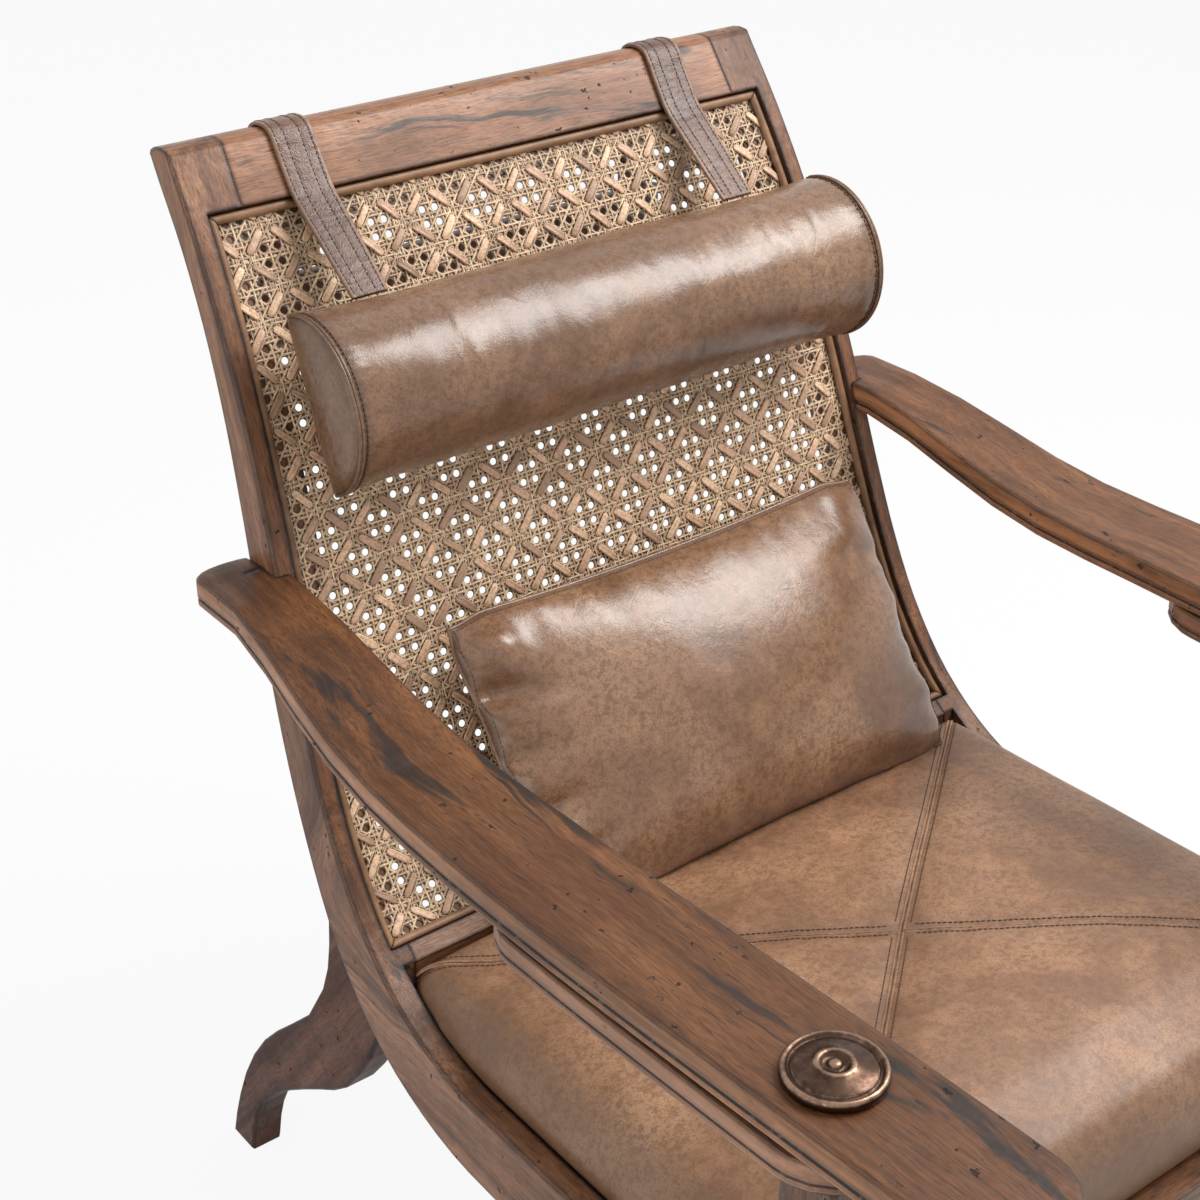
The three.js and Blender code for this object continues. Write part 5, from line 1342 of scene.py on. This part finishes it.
        # Folds drawn in from the side seams, gathers along all seams, a soft fill over the whole
        fold = noise.noise((x * 10.0, up * 34.0, 2.0 + face_sign)) * 0.0075 * math.exp(-from_side / 0.045)
        fold += noise.noise((x * 30.0, up * 9.0, 6.0 + face_sign)) * 0.0040 * math.exp(-from_end / 0.030)
        fold += noise.noise((x * 20.0, up * 75.0, 3.0)) * 0.0030 * math.exp(-from_side / 0.014)
        fold += noise.noise((x * 75.0, up * 20.0, 9.0)) * 0.0022 * math.exp(-from_end / 0.013)
        fold += noise.noise((x * 7.0, up * 7.0, 5.0 + face_sign)) * 0.0030
        for side, level, depth in self.TUCKS:
            off = x - side * self.size[0]
            across = up - level * self.size[1] + off * 0.35 * level
            fold -= depth * bell(across, 0.011) * bell(off, 0.052)
        for side, level, height in self.EARS:
            away = math.hypot(x - side * self.size[0], up - level * self.size[1])
            fold += height * bell(away, 0.020)
        fold += noise.noise((x * 18.0 + up * 9.0, up * 16.0, 1.0 + face_sign)) * 0.0010
        out = face_sign * (self.EDGE + swell * (self.size[2] - self.EDGE - 0.004) + fold * rising)
        place = self.out() * out
        return self.centre + Vector((x, up * math.sin(self.LEAN), up * math.cos(self.LEAN))) + place


class PLANTERS_OT_headrest(bpy.types.Operator):
    """Headrest roll with piped ends, its two straps over the crest and the weighted sleeve behind"""

    bl_idname = "planters_chair.headrest"
    bl_label = "Headrest"

    def execute(self, context):
        s = settings("leather")
        self.roll(s)
        self.straps(s)
        self.sleeve(s)
        return {"FINISHED"}

    # Step, length and thickness of a stitch
    ROLL_STITCH = (0.0042, 0.0030, 0.00062)
    STRAP_STITCH = (0.0042, 0.0028, 0.00042)
    SLEEVE_STITCH = (0.0042, 0.0028, 0.00045)
    # How far in the sleeve is sewn, and how much less than its space the roll fills at its seam
    SEWN_IN = 0.008
    SLACK = 0.010
    # Along half of the roll: place, then depth behind the seam plane
    BACK_DEPTHS = [
        (0.0, 1.0), (0.45, 1.0), (0.72, 0.96), (0.83, 0.86),
        (0.90, 0.70), (0.95, 0.50), (0.985, 0.26), (1.0, 0.04),
    ]
    LEAN = math.radians(22.8)
    # Creases round the roll: place along half its length, depth
    CREASES = [(0.22, 0.0016), (0.36, 0.0018), (0.60, 0.0012), (-0.30, 0.0010), (-0.62, 0.0012), (0.78, 0.0009)]
    # Domed end panel: how far out, then the section's size there
    DOME = [
        (0.0012, 0.985), (0.0028, 0.94), (0.0042, 0.86), (0.0055, 0.72), (0.0062, 0.55), (0.0066, 0.36), (0.0068, 0.16),
    ]

    def section(self, s, x, place, turn, grow=1.0, middle=0.0):
        """A point of the half-round section: turn 0 at the upper corner, pi at the lower one, on round the back."""
        up = Vector((0.0, math.sin(self.LEAN), math.cos(self.LEAN)))
        back = Vector((0.0, math.cos(self.LEAN), -math.sin(self.LEAN)))
        rise = (s.roll_radius + s.roll_flare * place ** 6) * grow
        if turn <= math.pi:
            behind = -math.sin(turn) * s.roll_radius * grow
        else:
            behind = -math.sin(turn) * s.roll_back * table_at(self.BACK_DEPTHS, place) * grow
        behind -= middle
        return self.centre + Vector((x, 0.0, 0.0)) + up * (math.cos(turn) * rise) + back * behind

    def roll(self, s):
        """Half-round roll with drawn seams, domed end panels, piping and stitches."""
        low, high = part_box("headrest_bolster")
        # The section's widest reach forwards and upwards, at its flared ends
        reach = (s.roll_radius + s.roll_flare, s.roll_radius)
        ahead = math.hypot(reach[0] * math.sin(self.LEAN), reach[1] * math.cos(self.LEAN))
        above = math.hypot(reach[0] * math.cos(self.LEAN), reach[1] * math.sin(self.LEAN))
        self.centre = Vector(((low.x + high.x) / 2.0, low.y + ahead, high.z - above))
        half = (high.x - low.x) / 2.0 - 0.005
        hide = glazed_leather("headrest_hide", shade(tuple(s.hide), 0.60), gloss=0.27)
        turns = [math.pi * k / 72 for k in range(73)] + [math.pi + math.pi * k / 30 for k in range(1, 30)]
        around = len(turns)
        count = 120
        stops = []
        for k in range(count + 1):
            t = -1.0 + 2.0 * k / count
            place = math.sin(t * math.pi / 2.0) * 0.45 + t * 0.55
            stops.append((place * half, abs(place), 1.0, 0.0))
        ends = [(half + out, 1.0, grow, s.roll_radius * (1.0 - grow) * 0.42) for out, grow in self.DOME]
        stops = [(-x, place, grow, middle) for x, place, grow, middle in reversed(ends)] + stops + ends
        points, marks = [], []
        for x, place, grow, middle in stops:
            inner = half - abs(x)
            near = bell(inner, 0.016)
            draw = 0.018
            if grow == 1.0:
                draw = 0.018 * bell(inner, 0.007) + 0.010 * bell(inner, 0.05)
            for turn in turns:
                c, n = math.cos(turn), math.sin(turn)
                soft = noise.noise((x * 8.0, c * 1.1, n * 1.1)) * 0.0022
                soft += noise.noise((x * 26.0, c * 2.6, n * 2.6)) * 0.0007
                fold = noise.noise((x * 60.0, c * 0.7 + 5.0, n * 0.7)) * 0.0009 * smooth_step(0.0, 0.2, n)
                for spot, depth in self.CREASES:
                    off = x - spot * half - 0.004 * noise.noise((spot * 9.0, turn * 1.6, 2.0))
                    groove = bell(off, 0.0022) - 0.35 * bell(off, 0.009)
                    fold -= depth * groove * smooth_step(0.0, 0.25, n)
                pucker = near * math.sin(turn * 52.0 + 4.0 * noise.noise((turn * 2.0, x * 9.0, 0.0))) * 0.0005
                swell = (soft + fold) * (1.0 - near) * grow + (pucker if grow == 1.0 else 0.0)
                p = self.section(s, x, place, turn, grow * (1.0 - draw) - self.SLACK, middle)
                if turn < math.pi or place < 0.9:
                    away = p - (self.centre + Vector((x, 0.0, 0.0)))
                    p += away.normalized() * swell
                if grow < 1.0:
                    p.x += math.copysign(noise.noise((p.y * 24.0, p.z * 24.0, x)) * 0.0016, x) * (1.0 - grow ** 4)
                points.append(p)
                # Painted shade: darker near the drawn-in end seams and over the end panels, most at their rims
                if grow == 1.0:
                    marks.append(0.85 * bell(inner, 0.010))
                else:
                    marks.append(0.34 + 0.5 * smooth_step(0.86, 1.0, grow))
        faces = grid_faces(len(stops), around, wrap=True)
        for ring in (0, len(stops) - 1):
            middle = len(points)
            points.append(sum((points[ring * around + k] for k in range(around)), Vector()) / around)
            marks.append(0.2)
            faces += fan(around, ring, middle, ring == 0)
        made = piece(
            "leather_headrest", points, faces, "headrest", hide, ["headrest_bolster"], {"seam": marks}
        )
        welts, rows = [], []
        for sign in (-1.0, 1.0):
            for out, grow in ((0.0010, 0.982), (-0.0016, 0.986)):
                outline = [self.section(s, sign * (half + out), 1.0, turn, grow - self.SLACK) for turn in turns]
                welts.append(tube(outline, 0.0014, 7, closed=True, normals=[(sign, 0.0, 0.0)] * around))
            fine = [max(0.0, math.pi * (-0.04 + 1.08 * k / 200)) for k in range(201)]
            seam_x = sign * (half - 0.0058)
            seam = [self.section(s, seam_x, 1.0, turn, 0.9885 - self.SLACK) for turn in fine if turn <= math.pi]
            rows.append(stitch_row(seam, *self.ROLL_STITCH))
        points, faces = joined(welts)
        piece("headrest_welts", points, faces, "headrest", hide, (), {"seam": [0.3] * len(points)})
        points, faces = joined(rows)
        sewing = thread("headrest_thread", tuple(s.thread))
        piece("headrest_stitches", points, faces, "headrest", sewing)

    # Share of the strap's length over which it narrows towards the roll
    STRAP_TAPER = 0.42
    # Strap cross section: across share, then lift share; two layers with a line between them
    STRAP_SECTION = [
        (-0.94, 1.0), (-0.85, 1.02), (-0.80, 0.93), (-0.74, 1.02), (-0.55, 1.04), (-0.42, 1.02), (-0.36, 0.91),
        (-0.30, 1.02), (-0.15, 1.05), (0.0, 1.06), (0.15, 1.05), (0.30, 1.02), (0.36, 0.91), (0.42, 1.02),
        (0.55, 1.04), (0.74, 1.02), (0.80, 0.93), (0.85, 1.02), (0.94, 1.0), (0.99, 0.75), (1.0, 0.40),
        (0.985, 0.06), (0.97, 0.0), (0.985, -0.06), (1.0, -0.40), (0.99, -0.75), (0.94, -1.0), (0.5, -1.0),
        (0.0, -1.0), (-0.5, -1.0), (-0.94, -1.0), (-0.99, -0.75), (-1.0, -0.40), (-0.985, -0.06), (-0.97, 0.0),
        (-0.985, 0.06), (-1.0, 0.40), (-0.99, 0.75),
    ]

    def strap_line(self, side):
        """Middle line of a strap, read from its frame solid as (y, z) points, with the strap's middle x."""
        node = NODES[f"headrest_strap_{side}"]
        low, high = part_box(node.name)
        seen = {(round(v.co.y, 5), round(v.co.z, 5)) for v in node.data.vertices}
        rest = sorted(seen, key=lambda p: p[1])
        # Walk from the roll over the crest and down: nearest neighbour, outer and inner face together
        start = min(rest, key=lambda p: p[0])
        chain, pool = [start], [p for p in rest if p != start]
        while pool:
            last = chain[-1]
            nearest = min(pool, key=lambda p: (p[0] - last[0]) ** 2 + (p[1] - last[1]) ** 2)
            chain.append(nearest)
            pool.remove(nearest)
        middle = [((a[0] + b[0]) / 2.0, (a[1] + b[1]) / 2.0) for a, b in zip(chain[0::2], chain[1::2])]
        return middle, (low.x + high.x) / 2.0

    def straps(self, s):
        hide = glazed_leather("strap_hide", tuple(s.strap), gloss=0.36, pebble=0.00022, crease=0.0014)
        edge = glazed_leather("strap_edge", (s.strap[0] * 1.75, s.strap[1] * 2.1, s.strap[2] * 2.3), gloss=0.45)
        sewing = thread("strap_thread", shade(tuple(s.thread), 0.5))
        for side in SIDES:
            line, x = self.strap_line(side)
            curve = Curve(line, samples=240, smoothing=9, passes=1)
            at, y, z = curve.s, curve.y, curve.z
            out = np.stack([curve.ny, curve.nz], 1)
            taper = np.clip(1.0 - at / (curve.length * self.STRAP_TAPER), 0.0, 1.0)
            halves = (s.strap_width - (s.strap_width - s.strap_end) * taper ** 2) / 2.0
            thick = s.strap_thickness / 2.0
            section = self.STRAP_SECTION
            points, marks = [], []
            for i in range(len(at)):
                sway = noise.noise((x * 5.0, at[i] * 6.0, 0.3)) * 0.0011
                for across, lift in section:
                    reach = thick * lift
                    if lift > 0.5:
                        crease = noise.noise((across * 1.6 + x * 9.0, at[i] * 230.0, 4.0)) * 0.00034
                        reach = reach + crease - 0.0002
                    sideways = x + sway + across * halves[i]
                    points.append(Vector((sideways, y[i] + out[i, 0] * reach, z[i] + out[i, 1] * reach)))
                    # Darker in the stitch grooves as painted shade, and along the line between the two layers
                    marks.append(0.8 if abs(across) in (0.80, 0.36) else (0.9 if abs(lift) < 0.1 else 0.0))
            ring = len(section)
            faces = grid_faces(len(at), ring, wrap=True) + end_caps(len(at), ring)
            made = piece(
                f"leather_strap_{side}", points, faces, "headrest", hide,
                [f"headrest_strap_{side}"], {"seam": marks},
            )
            made.data.materials.append(edge)
            columns = [k for k, (across, lift) in enumerate(section) if abs(across) > 0.84 and lift > -0.9]
            for face in made.data.polygons:
                if len(face.vertices) == 4 and all(v % ring in columns for v in face.vertices):
                    face.material_index = 1
            rows, sewn = [], thick * 0.94
            for across in (-0.80, -0.36, 0.36, 0.80):
                path = [
                    Vector((x + across * halves[i], y[i] + out[i, 0] * sewn, z[i] + out[i, 1] * sewn))
                    for i in range(2, len(at) - 1)
                ]
                rows.append(stitch_row(path, *self.STRAP_STITCH))
            points, faces = joined(rows)
            piece(f"strap_stitches_{side}", points, faces, "headrest", sewing)

    def sleeve(self, s):
        """Flat weighted sleeve behind the back, sewn round its outer face."""
        low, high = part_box("headrest_counterweight")
        hide = glazed_leather("sleeve_hide", tuple(s.strap), gloss=0.42, pebble=0.00016, coat=0.12)
        centre = (low + high) / 2.0
        half = (high - low) / 2.0
        around, along = 48, 90
        points, marks = [], []
        for i in range(along + 1):
            t = -1.0 + 2.0 * i / along
            x = half.x * (math.sin(t * math.pi / 2.0) * 0.4 + t * 0.6)
            pinch = max(0.06, 1.0 - abs(t) ** 26) ** 0.5
            for k in range(around):
                angle = 2.0 * math.pi * k / around
                c, n = math.cos(angle), math.sin(angle)
                cy = math.copysign(abs(c) ** 0.55, c) * half.y * pinch
                cz = math.copysign(abs(n) ** 0.42, n) * half.z * (0.93 + 0.07 * pinch)
                swell = noise.noise((x * 16.0, c * 1.2, n * 1.2)) * 0.0006
                points.append(Vector((centre.x + x, centre.y + cy * 0.97 + swell * c, centre.z + cz * 0.99)))
                # Painted shade: darker towards the pinched ends
                marks.append(0.8 * bell(half.x - abs(x), 0.008))
        faces = [tuple(reversed(face)) for face in grid_faces(along + 1, around, wrap=True)]
        faces.append(tuple(range(around)))
        faces.append(tuple(along * around + k for k in reversed(range(around))))
        made = piece(
            "headrest_sleeve", points, faces, "headrest", hide,
            ["headrest_counterweight"], {"seam": marks},
        )
        inner_x, inner_z = half.x - self.SEWN_IN, half.z - self.SEWN_IN
        y = centre.y + half.y * 0.97
        corners = ((-1.0, -1.0), (1.0, -1.0), (1.0, 1.0), (-1.0, 1.0), (-1.0, -1.0))
        path = [Vector((centre.x + a * inner_x, y, centre.z + b * inner_z)) for a, b in corners]
        points, faces = stitch_row(path, *self.SLEEVE_STITCH)
        sewing = thread("sleeve_thread", tuple(s.thread))
        piece("sleeve_stitches", points, faces, "headrest", sewing)


class PLANTERS_PT_panel(bpy.types.Panel):
    """Sidebar list of the chair's pieces and settings"""

    bl_label = "Planters Chair"
    bl_idname = "PLANTERS_PT_panel"
    bl_space_type = "VIEW_3D"
    bl_region_type = "UI"
    bl_category = "Planters Chair"

    def draw(self, context):
        for operator in OPERATORS:
            self.layout.operator(operator.bl_idname)
        for name, group in GROUPS.items():
            box = self.layout.box()
            box.label(text=name.title())
            for key in group.__annotations__:
                box.prop(getattr(context.scene, "planters_chair_" + name), key)


GROUPS = {
    "wood": PlantersWoodSettings,
    "cane": PlantersCaneSettings,
    "leather": PlantersLeatherSettings,
    "stage": PlantersStageSettings,
}
OPERATORS = (
    PLANTERS_OT_stage,
    PLANTERS_OT_timber,
    PLANTERS_OT_cane,
    PLANTERS_OT_rosettes,
    PLANTERS_OT_seat_pad,
    PLANTERS_OT_lumbar,
    PLANTERS_OT_headrest,
)


def register():
    for group in (*GROUPS.values(), *OPERATORS, PLANTERS_PT_panel):
        bpy.utils.register_class(group)
    for name, group in GROUPS.items():
        setattr(bpy.types.Scene, "planters_chair_" + name, bpy.props.PointerProperty(type=group))


def unregister():
    for name in GROUPS:
        delattr(bpy.types.Scene, "planters_chair_" + name)
    for group in (PLANTERS_PT_panel, *OPERATORS, *GROUPS.values()):
        bpy.utils.unregister_class(group)


def main():
    register()
    for operator in OPERATORS:
        step = operator.bl_idname.split(".")[1]
        getattr(bpy.ops.planters_chair, step)()


if __name__ == "__main__":
    main()
